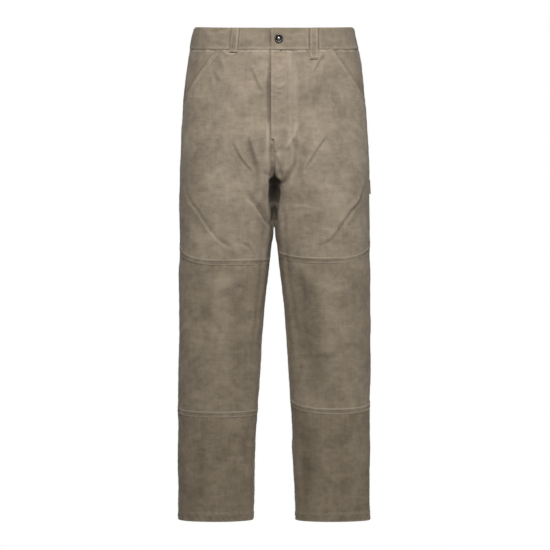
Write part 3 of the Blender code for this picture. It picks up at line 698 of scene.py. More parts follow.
@dataclass
class Tailor:
    """Cuts patches of cloth from the worn form, creased as listed and a little crumpled."""

    form: WornForm = field(default_factory=WornForm)
    creases: tuple[Crease, ...] = CREASES
    wall: float = 1.5 * MM
    depth: float = 1.55
    # How strongly shade is painted into crease troughs, by their depth
    dark: float = 0.36
    crumple: tuple[tuple[tuple[float, float, float], float], ...] = (
        ((52 * MM, 52 * MM, 88 * MM), 1.9),
        ((24 * MM, 24 * MM, 36 * MM), 0.8),
        ((11 * MM, 11 * MM, 13 * MM), 0.28),
    )

    def relief(self, points: Array, outward: Array) -> tuple[Array, ...]:
        """The lift, wear and painted shade that the creases and the crumpling give points of the form.
        """
        lift = np.zeros(points.shape[:-1])
        wear, shade = np.zeros_like(lift), np.zeros_like(lift)
        for number, (cell, rise) in enumerate(self.crumple):
            noise = value_noise(points, cell, 11 + number)
            lift += rise * MM * noise
            wear += 0.05 * np.clip(noise, 0, 1)
        for crease in self.creases:
            self._press(crease, points, outward, lift, wear, shade)
        return lift, wear, shade

    def _press(
        self, crease: Crease, points: Array, outward: Array, lift: Array, wear: Array, shade: Array
    ) -> None:
        """Adds one crease to the lift, wear and painted shade of the points near it."""
        across, drop = smooth_path(crease.path).T * MM
        line, _ = self.form.surface_across(crease.face, across, drop)
        width = crease.half_width * MM
        reach = 4 * width
        near = np.all((points > line.min(0) - reach) & (points < line.max(0) + reach), axis=-1)
        if not near.any():
            return
        here, out = points[near], outward[near]
        nearest = np.full(len(here), np.inf)
        along, side = np.zeros(len(here)), np.zeros(len(here))
        for i, (start, end) in enumerate(zip(line, line[1:])):
            stretch = end - start
            f = np.clip((here - start) @ stretch / (stretch @ stretch), 0, 1)
            offset = here - start - f[:, None] * stretch
            away = np.linalg.norm(offset, axis=-1)
            turn = np.einsum("ij,ij->i", np.cross(out, stretch), offset)
            closer = away < nearest
            nearest = np.where(closer, away, nearest)
            along = np.where(closer, (i + f) / (len(line) - 1), along)
            side = np.where(closer, np.sign(turn), side)
        taper = 4 if crease.worn >= 0 else 9
        fade = rounded_step(taper * along) * rounded_step(taper * (1 - along))
        uneven = 0.85 + 0.3 * value_noise(here, (30 * MM,) * 3, 5)
        fade = fade * uneven
        signed = nearest * side * (1 if crease.bank >= 0 else -1) / width
        trough = np.exp(-(signed**2))
        bank = np.exp(-(((signed - 1.5) / 1.15) ** 2))
        raised = crease.rise * (trough - abs(crease.bank) * bank)
        lift[near] += raised * MM * fade * self.depth
        # Shade painted into the trough's colour: by worn where it is negative, else by the trough's
        # depth
        if crease.worn < 0:
            shade[near] -= crease.worn * fade * trough
        elif crease.rise < 0:
            wear[near] += crease.worn * fade * np.exp(-(((signed - 1.2) / 0.55) ** 2))
            shade[near] += min(1.0, -crease.rise / 4) * fade * trough * self.dark
        else:
            wear[near] += crease.worn * fade * np.exp(-((signed / 0.6) ** 2))

    def patch(
        self, side: Side, face: Face, share: Array, drop: Array,
        lift: float | Array = 0.0, wall: float | Array | None = None,
    ) -> Patch:
        """Cloth on one half of the form, creased and kept off the next pieces."""
        share = self.form.evened(side, face, share, drop)
        drop = self.form.row(side, face, share, drop)
        points, outward = self.form.surface(face, self.form.angle_of(face, share, drop), drop)
        points[..., 0] *= side.value
        outward[..., 0] *= side.value
        made = self._creased(points, outward, drop, lift, wall)
        made.floor_x = side.value * Patch.SEAM
        made.face = face
        return made

    def patch_across(
        self, face: Face, across: Array, drop: Array,
        lift: float | Array = 0.0, wall: float | Array | None = None,
    ) -> Patch:
        """Cloth laid out by distance across, on either side of the centre line."""
        share = self.form.share_at(face, np.abs(across), drop)
        drop = self.form.row(Side.LEFT, face, share, drop)
        points, outward = self.form.surface_across(face, across, drop)
        return self._creased(points, outward, drop, lift, wall)

    def hemmed(self, drops: Array) -> Array:
        """The cloth's thickness, doubled where the hem is turned up inside."""
        fold = self.form.hem_drop - self.form.hem_depth
        return self.wall * (1 + rounded_step((drops - fold) / MM))

    def _creased(
        self, points: Array, outward: Array, drop: Array,
        lift: float | Array, wall: float | Array | None,
    ) -> Patch:
        """A patch of these points with the creases pressed in."""
        raised, wear, shade = self.relief(points, outward)
        thickness = np.broadcast_to(self.wall if wall is None else wall, drop.shape)
        return Patch(
            points, outward, points[..., 0].copy(), drop, raised + lift, thickness, wear, shade
        )


class Graph:
    """A material's nodes, made and joined by short calls."""

    def __init__(self, name: str) -> None:
        """Starts a material with its shader."""
        self.material = bpy.data.materials.new(name)
        self.material.use_nodes = True
        self.nodes = self.material.node_tree.nodes
        self.links = self.material.node_tree.links
        self.shader = self.nodes["Principled BSDF"]

    def add(self, kind: str, inputs: dict | None = None, **settings: object) -> bpy.types.Node:
        """Adds a node, with values or sockets for its inputs and with its own settings."""
        node = self.nodes.new(f"ShaderNode{kind}")
        for name, value in settings.items():
            setattr(node, name, value)
        for key, value in (inputs or {}).items():
            if isinstance(value, Socket):
                self.links.new(value, node.inputs[key])
            else:
                node.inputs[key].default_value = value
        return node

    def math(self, operation: str, *values: object, clamp: bool = False) -> Socket:
        """The result of a Math node on values or sockets."""
        inputs = dict(enumerate(values))
        return self.add("Math", inputs, operation=operation, use_clamp=clamp).outputs[0]

    def mix(self, factor: object, first: object, second: object) -> Socket:
        """The colour between two others."""
        inputs = {"Factor": factor, "A": first, "B": second}
        node = self.add("Mix", data_type="RGBA")
        for name, value in inputs.items():
            socket = next(s for s in node.inputs if s.name == name and s.enabled)
            if isinstance(value, Socket):
                self.links.new(value, socket)
            else:
                socket.default_value = value
        return next(s for s in node.outputs if s.enabled)

    def noise(
        self, coordinates: Socket, scale: float, detail: float, roughness: float = 0.5
    ) -> Socket:
        """A noise texture's value."""
        inputs = {"Vector": coordinates, "Scale": scale, "Detail": detail, "Roughness": roughness}
        return self.add("TexNoise", inputs).outputs["Fac"]

    def bump(self, height: Socket, strength: float, depth: float) -> Socket:
        """The surface's direction over a small relief."""
        inputs = {"Height": height, "Strength": strength, "Distance": depth}
        return self.add("Bump", inputs).outputs[0]

    def attribute(self, name: str) -> Socket:
        """The value of a mesh attribute."""
        return self.add("Attribute", attribute_name=name).outputs["Fac"]

    def stretched(
        self, coordinates: Socket, scale: tuple[float, ...], offset: float = 0.0
    ) -> Socket:
        """Coordinates scaled by axis and moved, so that panels differ."""
        inputs = {"Vector": coordinates, "Scale": scale, "Location": (offset, offset, offset)}
        return self.add("Mapping", inputs).outputs[0]

    def finish(self, sockets: dict[str, object]) -> bpy.types.Material:
        """Sets the shader's sockets and gives the material."""
        for name, value in sockets.items():
            if isinstance(value, Socket):
                self.links.new(value, self.shader.inputs[name])
            else:
                self.shader.inputs[name].default_value = value
        return self.material


def linear(colour: tuple[float, float, float], factor: float = 1.0) -> tuple[float, ...]:
    """A colour as seen on a screen, 0 to 255, as light, times a factor."""
    return (*(((value / 255 + 0.055) / 1.055) ** 2.4 * factor for value in colour), 1.0)


@dataclass(frozen=True)
class Canvas:
    """Garment-dyed cotton canvas: cloudy dye, pale slubs, frosted ridges and painted shade over a
    weave.
    """

    name: str
    colour: tuple[float, float, float]
    offset: float = 0.0
    cloud: float = 0.70
    mottle: float = 0.80
    slub: float = 0.22
    speck: float = 0.24
    crackle: float = 0.55
    pale: float = 1.40
    # deep is the colour's factor where the most shade is painted
    deep: float = 0.40
    weave: float = 0.62 * MM
    bump: float = 0.5

    def material(self) -> bpy.types.Material:
        """The canvas's material."""
        graph = Graph(self.name)
        place = graph.stretched(graph.add("TexCoord").outputs["Object"], (1, 1, 1), self.offset)
        cloud = graph.noise(place, 15, 3, 0.55)
        mottle = graph.noise(graph.stretched(place, (1, 1, 1.5)), 58, 4, 0.62)
        slub = graph.noise(graph.stretched(place, (38, 38, 420)), 1, 2, 0.5)
        warp_streak = graph.noise(graph.stretched(place, (260, 260, 16)), 1, 2, 0.5)
        speck = graph.noise(place, 1100, 1)
        total = 0.5
        parts = ((cloud, self.cloud), (mottle, self.mottle), (slub, self.slub))
        for value, weight in (*parts, (warp_streak, 0.24), (speck, self.speck)):
            centred = graph.math("SUBTRACT", value, 0.5)
            total = graph.math("MULTIPLY_ADD", centred, weight * 2.2, total)
        total = graph.math("MAXIMUM", graph.math("MINIMUM", total, 1.0), 0.0)
        cloth = graph.mix(total, linear(self.colour, 0.76), linear(self.colour, 1.24))
        # Painted shade: the shade attribute darkens the colour towards deep
        shade = graph.math("MULTIPLY", graph.attribute("shade"), 0.9, clamp=True)
        cloth = graph.mix(shade, cloth, linear(self.colour, self.deep))
        patchy = graph.math("MULTIPLY_ADD", mottle, 1.5, 0.25)
        worn = graph.math("MULTIPLY", graph.attribute("wear"), patchy)
        worn = graph.math("ADD", worn, self._crackle(graph, place, cloud), clamp=True)
        pale = tuple(0.9 * value + 0.1 * sum(self.colour) / 3 for value in self.colour)
        cloth = graph.mix(worn, cloth, linear(pale, self.pale))
        height = self._weave(graph, slub)
        sockets = {"Base Color": cloth, "Roughness": 0.93, "Specular IOR Level": 0.22,
                   "Sheen Weight": 0.10, "Sheen Roughness": 0.45}
        return graph.finish({**sockets, "Normal": graph.bump(height, self.bump, 0.25 * MM)})

    def _crackle(
        self, graph: Graph, place: Socket, cloud: Socket
    ) -> Socket:
        """Fine pale lines, left where the cloth was crumpled in the dye."""
        lines = 0.0
        for scale, strength in (((17, 17, 9), 1.0), ((12, 12, 30), 0.8)):
            noise = graph.noise(graph.stretched(place, scale), 1, 3, 0.5)
            away = graph.math("ABSOLUTE", graph.math("SUBTRACT", noise, 0.5))
            line = graph.math("MULTIPLY_ADD", away, -28.0, 1.0, clamp=True)
            lines = graph.math("MULTIPLY_ADD", line, strength, lines)
        patchy = graph.math("MULTIPLY_ADD", cloud, 3.0, -1.2, clamp=True)
        return graph.math("MULTIPLY", graph.math("MULTIPLY", lines, patchy), self.crackle)

    def _weave(self, graph: Graph, slub: Socket) -> Socket:
        """The height of crossing threads, thicker where a slub runs."""
        grain = graph.add("UVMap", uv_map="grain").outputs[0]
        threads = []
        for direction in ("X", "Y"):
            inputs = {"Vector": grain, "Scale": 0.32 / self.weave, "Distortion": 0.6, "Detail": 1.0}
            wave = graph.add("TexWave", inputs, bands_direction=direction, wave_profile="SIN")
            threads.append(wave.outputs["Fac"])
        crossing = graph.math("MAXIMUM", *threads)
        return graph.math("MULTIPLY_ADD", slub, 1.2, crossing)


@dataclass(frozen=True)
class Thread:
    """Matt sewing thread, a little paler than the cloth."""

    name: str
    colour: tuple[float, float, float]

    def material(self) -> bpy.types.Material:
        """The thread's material, twisted and unevenly dyed."""
        graph = Graph(self.name)
        place = graph.add("TexCoord").outputs["Object"]
        uneven = graph.noise(place, 260, 2)
        colour = graph.mix(uneven, linear(self.colour, 0.75), linear(self.colour, 1.25))
        ply = graph.noise(place, 2600, 1)
        sockets = {"Base Color": colour, "Roughness": 0.8, "Sheen Weight": 0.15}
        return graph.finish({**sockets, "Normal": graph.bump(ply, 0.4, 0.1 * MM)})


@dataclass(frozen=True)
class Metal:
    """Painted or plated metal, rubbed through where the wear attribute says so."""

    name: str
    colour: tuple[float, float, float]
    rubbed: tuple[float, float, float]
    roughness: float = 0.35

    def material(self) -> bpy.types.Material:
        """The metal's material."""
        graph = Graph(self.name)
        place = graph.add("TexCoord").outputs["Object"]
        grain = graph.noise(place, 900, 3, 0.6)
        patchy = graph.math("MULTIPLY_ADD", grain, 0.9, 0.55)
        worn = graph.math("MULTIPLY", graph.attribute("wear"), patchy, clamp=True)
        uneven = graph.mix(grain, linear(self.colour, 0.7), linear(self.colour, 1.3))
        colour = graph.mix(worn, uneven, linear(self.rubbed))
        rough = graph.math("MULTIPLY_ADD", grain, 0.2, self.roughness - 0.1)
        sockets = {"Base Color": colour, "Metallic": 0.85, "Roughness": rough}
        return graph.finish({**sockets, "Normal": graph.bump(grain, 0.15, 0.1 * MM)})


@dataclass(frozen=True)
class Tape:
    """Woven zip tape, ribbed along its length."""

    name: str
    colour: tuple[float, float, float]

    def material(self) -> bpy.types.Material:
        """The tape's material."""
        graph = Graph(self.name)
        place = graph.add("TexCoord").outputs["Object"]
        ribs = graph.noise(graph.stretched(place, (900, 900, 2400)), 1, 1)
        colour = graph.mix(ribs, linear(self.colour, 0.8), linear(self.colour, 1.15))
        sockets = {"Base Color": colour, "Roughness": 0.82}
        return graph.finish({**sockets, "Normal": graph.bump(ribs, 0.5, 0.15 * MM)})


FINISHES = {
    "band": Canvas("Waistband canvas", (136, 124, 107), 0.31),
    "thigh": Canvas("Thigh canvas", (152, 139, 121), 0.0),
    # The knee and shin canvases are the thigh canvas made darker down the leg, partly as painted
    # falloff of the light
    "knee": Canvas("Knee canvas", (145, 132, 113), 3.7),
    "shin": Canvas("Shin canvas", (136, 123, 104), 7.1),
    "back": Canvas("Back canvas", (149, 136, 118), 11.3),
    "facing": Canvas("Pocket facing canvas", (146, 133, 115), 15.9),
    "seam": Canvas("Frosted seam canvas", (147, 134, 116), 19.7),
    "thread": Thread("Sewing thread", (168, 154, 134)),
    "tape": Tape("Zip tape", (96, 87, 72)),
    "teeth": Metal("Zip teeth", (120, 108, 84), (150, 138, 112), 0.4),
    "button": Metal("Blackened metal", (30, 29, 28), (205, 203, 198), 0.32),
}


def placed(name: str, data: bpy.types.ID) -> bpy.types.Object:
    """A new object in the scene."""
    made = bpy.data.objects.new(name, data)
    bpy.context.scene.collection.objects.link(made)
    return made


@dataclass
class Workroom:
    """Turns patches and loose points into named pieces with their materials."""

    tailor: Tailor = field(default_factory=Tailor)
    sharp: float = math.radians(52)
    dyed: dict[str, bpy.types.Material] = field(default_factory=dict)

    def dye(self, finish: str) -> bpy.types.Material:
        """The material of a finish, made once."""
        if finish not in self.dyed:
            self.dyed[finish] = FINISHES[finish].material()
        return self.dyed[finish]

    def mesh(
        self, name: str, points: Array, faces: Array, finish: str
    ) -> bpy.types.Object:
        """A named piece from points and faces that all have as many corners.

        Args:
            name: The piece's name.
            points: Its points, one to a row.
            faces: The points of each face, one face to a row.
            finish: The name of its finish.

        Returns:
            The object.
        """
        made = bpy.data.meshes.new(name)
        made.vertices.add(len(points))
        made.vertices.foreach_set("co", np.ascontiguousarray(points, np.float32).ravel())
        made.loops.add(faces.size)
        made.loops.foreach_set("vertex_index", np.ascontiguousarray(faces, np.int32).ravel())
        made.polygons.add(len(faces))
        starts = np.arange(len(faces), dtype=np.int32) * faces.shape[1]
        made.polygons.foreach_set("loop_start", starts)
        made.update(calc_edges=True)
        made.validate()
        made.materials.append(self.dye(finish))
        made.shade_smooth()
        made.set_sharp_from_angle(angle=self.sharp)
        piece = placed(name, made)
        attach(piece, BODY)
        return piece

    def shell(self, name: str, patch: Patch, finish: str) -> bpy.types.Object:
        """A closed wall of cloth from a patch, with its wear, painted shade and grain.

        Args:
            name: The piece's name.
            patch: The cloth.
            finish: The name of its finish.

        Returns:
            The object.
        """
        outer, inner = patch.outer(), patch.inner()
        rows, columns = outer.shape[:2]
        points = np.concatenate([outer.reshape(-1, 3), inner.reshape(-1, 3)])
        top, bottom = np.arange(2 * rows * columns).reshape(2, rows, columns)
        corners = [(slice(None, -1), slice(None, -1)), (slice(1, None), slice(None, -1)),
                   (slice(1, None), slice(1, None)), (slice(None, -1), slice(1, None))]
        over = np.stack([top[c].ravel() for c in corners], axis=-1)
        under = np.stack([bottom[c].ravel() for c in reversed(corners)], axis=-1)
        edge = [(i, 0) for i in range(rows - 1)]
        edge += [(rows - 1, j) for j in range(columns - 1)]
        edge += [(i, columns - 1) for i in range(rows - 1, 0, -1)]
        edge += [(0, j) for j in range(columns - 1, 0, -1)]
        rim = np.array([
            [top[after], top[here], bottom[here], bottom[after]]
            for here, after in zip(edge, edge[1:] + edge[:1])
        ])
        faces = np.concatenate([over, under, rim])
        first = outer[:-1, :-1], outer[1:, :-1], outer[:-1, 1:]
        normal = np.cross(first[1] - first[0], first[2] - first[0])
        if (normal * patch.outward[:-1, :-1]).sum() < 0:
            faces = faces[:, ::-1]
        piece = self.mesh(name, points, faces, finish)
        self.paint(piece, "wear", np.tile(np.clip(patch.wear, 0, 1).ravel(), 2))
        # The painted shade, for the material to darken the colour by
        self.paint(piece, "shade", np.tile(np.clip(patch.shade, 0, 1).ravel(), 2))
        run = patch.edge_distance(Edge.START)
        grain = np.tile(np.stack([run, patch.drop], axis=-1).reshape(-1, 2), (2, 1))
        layer = piece.data.uv_layers.new(name="grain")
        corner_points = np.empty(len(piece.data.loops), np.int32)
        piece.data.loops.foreach_get("vertex_index", corner_points)
        layer.data.foreach_set("uv", grain[corner_points].astype(np.float32).ravel())
        return piece

    @staticmethod
    def paint(piece: bpy.types.Object, name: str, values: Array) -> None:
        """Gives each point of a piece a value that its material reads."""
        layer = piece.data.attributes.new(name, "FLOAT", "POINT")
        layer.data.foreach_set("value", np.ascontiguousarray(values, np.float32))

    def cloth(
        self, node: str, patch: Patch, finish: str, slot: str, flat: tuple[float, float],
        area: float | None = None, rests_on: tuple[str, ...] = ("cloth_waistband",),
        with_pieces: tuple[bpy.types.Object, ...] = (),
    ) -> bpy.types.Object:
        """A piece of cloth that stands for a CAD node.

        Args:
            node: The CAD node that it replaces.
            patch: The cloth.
            finish: The name of its finish.
            slot: The record's material slot, not used.
            flat: The width and length that it was cut to, in metres.
            area: The cut's area in square metres, where it isn't a rectangle, not used.
            rests_on: What it hangs from, not used.
            with_pieces: The separate pieces on it, not used.

        Returns:
            The object.
        """
        piece = self.shell(f"cloth_{node}", patch, finish)
        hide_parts(node)
        log.info("%s: %d faces, flat %.3f x %.3f m", piece.name, len(piece.data.polygons), *flat)
        return piece


@dataclass
class Stitching:
    """Rows of stitches laid on the finished cloth, gathered by piece."""

    workroom: Workroom
    pitch: float = 3.3 * MM
    gap: float = 0.9 * MM
    radius: float = 0.30 * MM
    sides: int = 5
    rows: dict[str, list[tuple[Array, ...]]] = field(default_factory=dict)

    def sew(self, group: str, patch: Patch, line: tuple[Array, Array]) -> None:
        """Sews one row of stitches.

        Args:
            group: The name of the piece of stitching that it belongs to.
            patch: The cloth that it is sewn on.
            line: The row and column of each point on the way, as fractions.
        """
        points, normals = self.on_surface(patch.outer(), *line)
        run = np.concatenate([[0], np.cumsum(np.linalg.norm(np.diff(points, axis=0), axis=-1))])
        count = int(run[-1] / self.pitch)
        if count < 1:
            return
        starts = (np.arange(count) + 0.5) * run[-1] / count
        half = (run[-1] / count - self.gap) / 2
        middle, first, last, up = (
            np.stack([np.interp(at, run, source[:, axis]) for axis in range(3)], axis=-1)
            for at, source in (
                (starts, points), (starts - half, points), (starts + half, points),
                (starts, normals),
            )
        )
        self.rows.setdefault(group, []).append((middle, last - first, unit(up)))

    def sew_beside(
        self, group: str, patch: Patch, edge: Edge, away: tuple[float, ...],
        start: float = 0.0, end: float = 1.0,
    ) -> None:
        """Sews rows at these distances from an edge, along a share of it."""
        for distance in away:
            self.sew(group, patch, patch.beside(edge, distance, start, end))

    def bartack(
        self, group: str, patch: Patch, at: tuple[float, float], along: tuple[float, float],
        length: float = 9 * MM, width: float = 2.2 * MM,
    ) -> None:
        """Sews a bar of close stitches at a place across and down, in millimetres."""
        step = 0.62 * MM
        way = unit(np.array(along, float))
        offsets = np.arange(-length / 2, length / 2 + step / 2, step)
        path = [tuple(np.array(at) + way * offset / MM) for offset in offsets]
        rows, columns = patch.traced(path)
        rows, columns = rows[::8], columns[::8]
        points, normals = self.on_surface(patch.outer(), rows, columns)
        sideways = unit(np.cross(normals, np.gradient(points, axis=0))) * width
        sideways += np.gradient(points, axis=0) * 0.5
        self.rows.setdefault(group, []).append((points, sideways, normals))

    @staticmethod
    def on_surface(
        surface: Array, rows: Array, columns: Array
    ) -> tuple[Array, Array]:
        """Points and outward normals of a surface at fractional rows and columns."""
        i = np.clip(np.floor(rows).astype(int), 0, surface.shape[0] - 2)
        j = np.clip(np.floor(columns).astype(int), 0, surface.shape[1] - 2)
        f, g = (rows - i)[:, None], (columns - j)[:, None]
        corner, below = surface[i, j], surface[i + 1, j]
        beside, across = surface[i, j + 1], surface[i + 1, j + 1]
        points = (1 - f) * ((1 - g) * corner + g * beside) + f * ((1 - g) * below + g * across)
        normals = unit(np.cross(below - corner, beside - corner))
        level = points * [1, 1, 0]
        middle = surface.mean(axis=(0, 1)) * [1, 1, 0]
        outward = np.einsum("ij,ij->i", normals, level - middle * [1, 0, 0])
        return points, normals * np.where(np.median(outward) < 0, -1, 1)

    def finish(self) -> None:
        """Makes one piece of every group of rows."""
        for group, rows in self.rows.items():
            middle, way, up = (np.concatenate(parts) for parts in zip(*rows))
            piece = self.workroom.mesh(f"stitches_{group}", *self._stitches(middle, way, up), "thread")
            log.info("%s: %d stitches", piece.name, len(middle))

    def _stitches(
        self, middle: Array, way: Array, up: Array
    ) -> tuple[Array, Array]:
        """Short rounded threads, each sunk a little at both ends.

        Args:
            middle: The middle of each stitch.
            way: Its length and direction.
            up: The direction out of the cloth.

        Returns:
            The points and the triangles of all stitches.
        """
        side = unit(np.cross(way, up))
        angles = np.arange(self.sides) * 2 * math.pi / self.sides
        rings = []
        for share in (-0.32, 0.32):
            ring = middle + way * share + up * self.radius * 0.55
            around = (
                side[:, None] * np.cos(angles)[:, None] + up[:, None] * np.sin(angles)[:, None]
            )
            rings.append(ring[:, None] + around * self.radius)
        tips = [middle + way * share - up * self.radius * 0.5 for share in (-0.5, 0.5)]
        points = np.concatenate([tips[0][:, None], *rings, tips[1][:, None]], axis=1)
        n = self.sides
        one = []
        for k in range(n):
            here, after = 1 + k, 1 + (k + 1) % n
            one += [(0, after, here), (here, after, after + n), (here, after + n, here + n)]
            one += [(here + n, after + n, 2 * n + 1)]
        faces = np.array(one) + (np.arange(len(middle)) * (2 * n + 2))[:, None, None]
        return points.reshape(-1, 3), faces.reshape(-1, 3)


INSEAM = SeamEdge(strip=13, raised=1.1, pucker=0.5, pitch=9, reach=13, frost_and_pucker_shade=1.3, frost_reach=11,
                  shadow=0.5)
OUTSEAM = SeamEdge(strip=10, raised=0.8, pucker=0.4, pitch=11, reach=11, frost_and_pucker_shade=0.35, shadow=0.2)
PLAIN_SEAM = SeamEdge(pucker=0.3, pitch=12, reach=9, frost_and_pucker_shade=0.18)
HEM_EDGE = SeamEdge(strip=17.5, raised=0.7, pucker=0.8, pitch=9, reach=19, slant=0.7, frost_and_pucker_shade=0.75,
                    frost_reach=2.4, shadow=0.2)
KNEE_EDGE = SeamEdge(roll=0.0, pucker=1.0, pitch=9, reach=14, frost_and_pucker_shade=0.45, frost_reach=6.5,
                     shadow=0.2)
BAND_JOIN = SeamEdge(strip=3.2, raised=-0.2, roll=0.3, pucker=0.95, pitch=10, reach=11, frost_and_pucker_shade=0.9,
                     frost_reach=2, shadow=0.1)


@dataclass
class ThighFront:
    """The front from the waistband to the knee, cut away along the pocket's mouth."""

    side: Side
    pocket_across: float = 115 * MM
    pocket_slant: float = 0.66
    pocket_bow: float = 3 * MM
    pocket_end: float = 153 * MM
    lap_past_centre: float = 6 * MM
    fly_drop: float = 236 * MM
    fly_settled: float = 262 * MM
    fly_lift: float = 2.0 * MM
    fly_slope: float = 26 * MM
    rise_start: float = 266 * MM
    inseam_start: float = 312 * MM
    width: float = 270 * MM
    step: float = 2.6 * MM
    mouth_edge: SeamEdge = SeamEdge(strip=8.5, raised=0.9, pucker=0.45, pitch=12, reach=10,
                                    frost_and_pucker_shade=1.0, frost_reach=2.2, shadow=0.45)
    fly_path: tuple[tuple[float, float], ...] = (
        (27, 57), (28.5, 140), (29.5, 205), (30, 220), (26, 236), (17, 248), (4, 255),
    )

    def mouth(self, drop: Array) -> Array:
        """How far across the pocket's mouth is at a drop."""
        down = np.clip((drop - BAND_BOTTOM) / (self.pocket_end - BAND_BOTTOM), 0, 1)
        bow = self.pocket_bow * np.sin(math.pi * down)
        return self.pocket_across + self.pocket_slant * (drop - BAND_BOTTOM) + bow

    def patch(self, tailor: Tailor) -> Patch:
        """The creased and sewn panel."""
        form = tailor.form
        seam = next(s for s in KNEE_SEAMS if s.side is self.side and s.name == "upper")
        top, last = CLOTH_TOP, seam.drop - Patch.SEAM
        drops = top + (last - top) * spaced(last - top, self.step)
        drops = np.sort(np.append(drops, [self.pocket_end, self.fly_drop, self.fly_settled]))
        start = np.where(
            drops < self.pocket_end, form.share_at(FRONT, self.mouth(drops), drops), 0
        )[:, None]
        f = spaced(self.width, 2.7 * MM)[None, :]
        shares, grid = start + (1 - start) * f, drops[:, None] + 0 * f
        if self.side is Side.RIGHT:
            patch = tailor.patch(self.side, FRONT, shares, grid)
            self.dip_beside_fly(patch)
        else:
            patch = self._lapped(tailor, shares, grid)
        in_mouth = rounded_step((self.pocket_end - grid) / (4 * MM))
        patch.sew_edge(Edge.START, self.mouth_edge, 21 + self.side.value, in_mouth)
        patch.sew_edge(Edge.START, PLAIN_SEAM, 23 + self.side.value, 1 - in_mouth)
        below = rounded_step((grid - form.crotch_drop) / (20 * MM))
        patch.sew_edge(Edge.END, INSEAM, 25 + self.side.value, below)
        patch.lap(Edge.END, drops > form.crotch_drop, form.crotch_drop)
        if self.side is Side.LEFT:
            rise = rounded_step((grid - self.fly_drop) / (20 * MM)) * (1 - below)
            patch.sew_edge(Edge.END, OUTSEAM, 26, rise)
            patch.lap(Edge.END, drops > self.fly_settled, form.crotch_drop)
        patch.sew_edge(Edge.TOP, BAND_JOIN, 27 + self.side.value)
        patch.sew_edge(Edge.BOTTOM, KNEE_EDGE, 29 + self.side.value)
        return patch

    def dip_beside_fly(self, patch: Patch, whole: bool = False) -> None:
        """Lets the cloth beside the fly, or all that lies under it, fall back, and on the right front
        paints shade beside the fly's edge.
        """
        x, z = patch.across / MM, patch.drop / MM
        x = np.maximum(x, 0) if whole else x
        depth = np.interp(z, [50, 80, 120, 175, 215, 246], [0.6, 1.6, 3.4, 3.6, 2.6, 0])
        width = np.interp(z, [50, 120, 175, 246], [3.5, 7.0, 8.0, 4.0])
        away = np.clip((-6 - x) / width, 0, 9)
        dip = np.exp(-(away**2)) * rounded_step((16 - x) / 8)
        patch.lift -= depth * MM * dip
        # A shadow painted beside the fly's edge
        dark = np.interp(z, [46, 75, 110, 175, 225, 262], [0.55, 0.6, 0.80, 0.75, 0.4, 0])
        reach = np.interp(z, [50, 95, 120, 175, 262], [3.5, 6.0, 10.5, 9.0, 4.0])
        patch.shade += dark * np.exp(-((np.clip(-6 - x, 0, 99) / reach) ** 4)) * (x < 0)

    def _lapped(self, tailor: Tailor, shares: Array, drops: Array) -> Patch:
        """The left front, whose edge is raised and lies past the centre along the fly."""
        patch = tailor.patch(self.side, FRONT, shares, drops)
        lapped = drops[:, 0] < self.fly_settled
        past = np.where(drops[lapped][:, :1] < self.fly_drop, self.lap_past_centre, -Patch.SEAM)
        across = np.abs(patch.across[lapped])
        start = across[:, :1]
        stretched = start - (start - across) * (start + past) / start
        lift = self.fly_lift * rounded_step(1 - stretched / self.fly_slope)
        over = tailor.patch_across(FRONT, stretched, drops[lapped], lift)
        for name in ("form_points", "outward", "across", "drop", "lift", "wear", "shade"):
            values = getattr(patch, name).copy()
            values[lapped] = getattr(over, name)
            setattr(patch, name, values)
        patch.floor_x = None
        self._sew_fly(patch, drops)
        return patch

    def _sew_fly(self, patch: Patch, drops: Array) -> None:
        """Raises the fly's double cloth, curves its small puckers with shade painted in their troughs,
        and wears its edge.
        """
        x, z = patch.across / MM, patch.drop / MM
        edge = np.interp(z, [40, 205, 225, 245, 258], [31, 33, 31, 16, -6])
        inside = rounded_step((edge - x) / 3.0) * rounded_step((258 - z) / 6)
        patch.lift += 0.6 * MM * inside
        wave = ripple(z - 0.5 * x + 0.03 * x * x, 9.5, 41)
        near = np.exp(-(((x - 12) / 12) ** 2)) * inside
        heavy = 0.35 + 1.2 * np.exp(-(((z - 128) / 20) ** 2))
        patch.lift += 0.85 * MM * wave * near * heavy
        patch.wear += 0.6 * np.clip(wave, 0, 1) * near * heavy
        # Shade painted in the puckers' troughs
        patch.shade += 0.3 * np.clip(-wave, 0, 1) * near * heavy
        line = np.exp(-(((edge - x) / 2.2) ** 2)) * rounded_step((258 - z) / 6)
        patch.wear += 0.35 * line
        rim = np.exp(-((x + 6) / 2.5) ** 2) * rounded_step((250 - z) / 10)
        patch.wear += 0.3 * rim

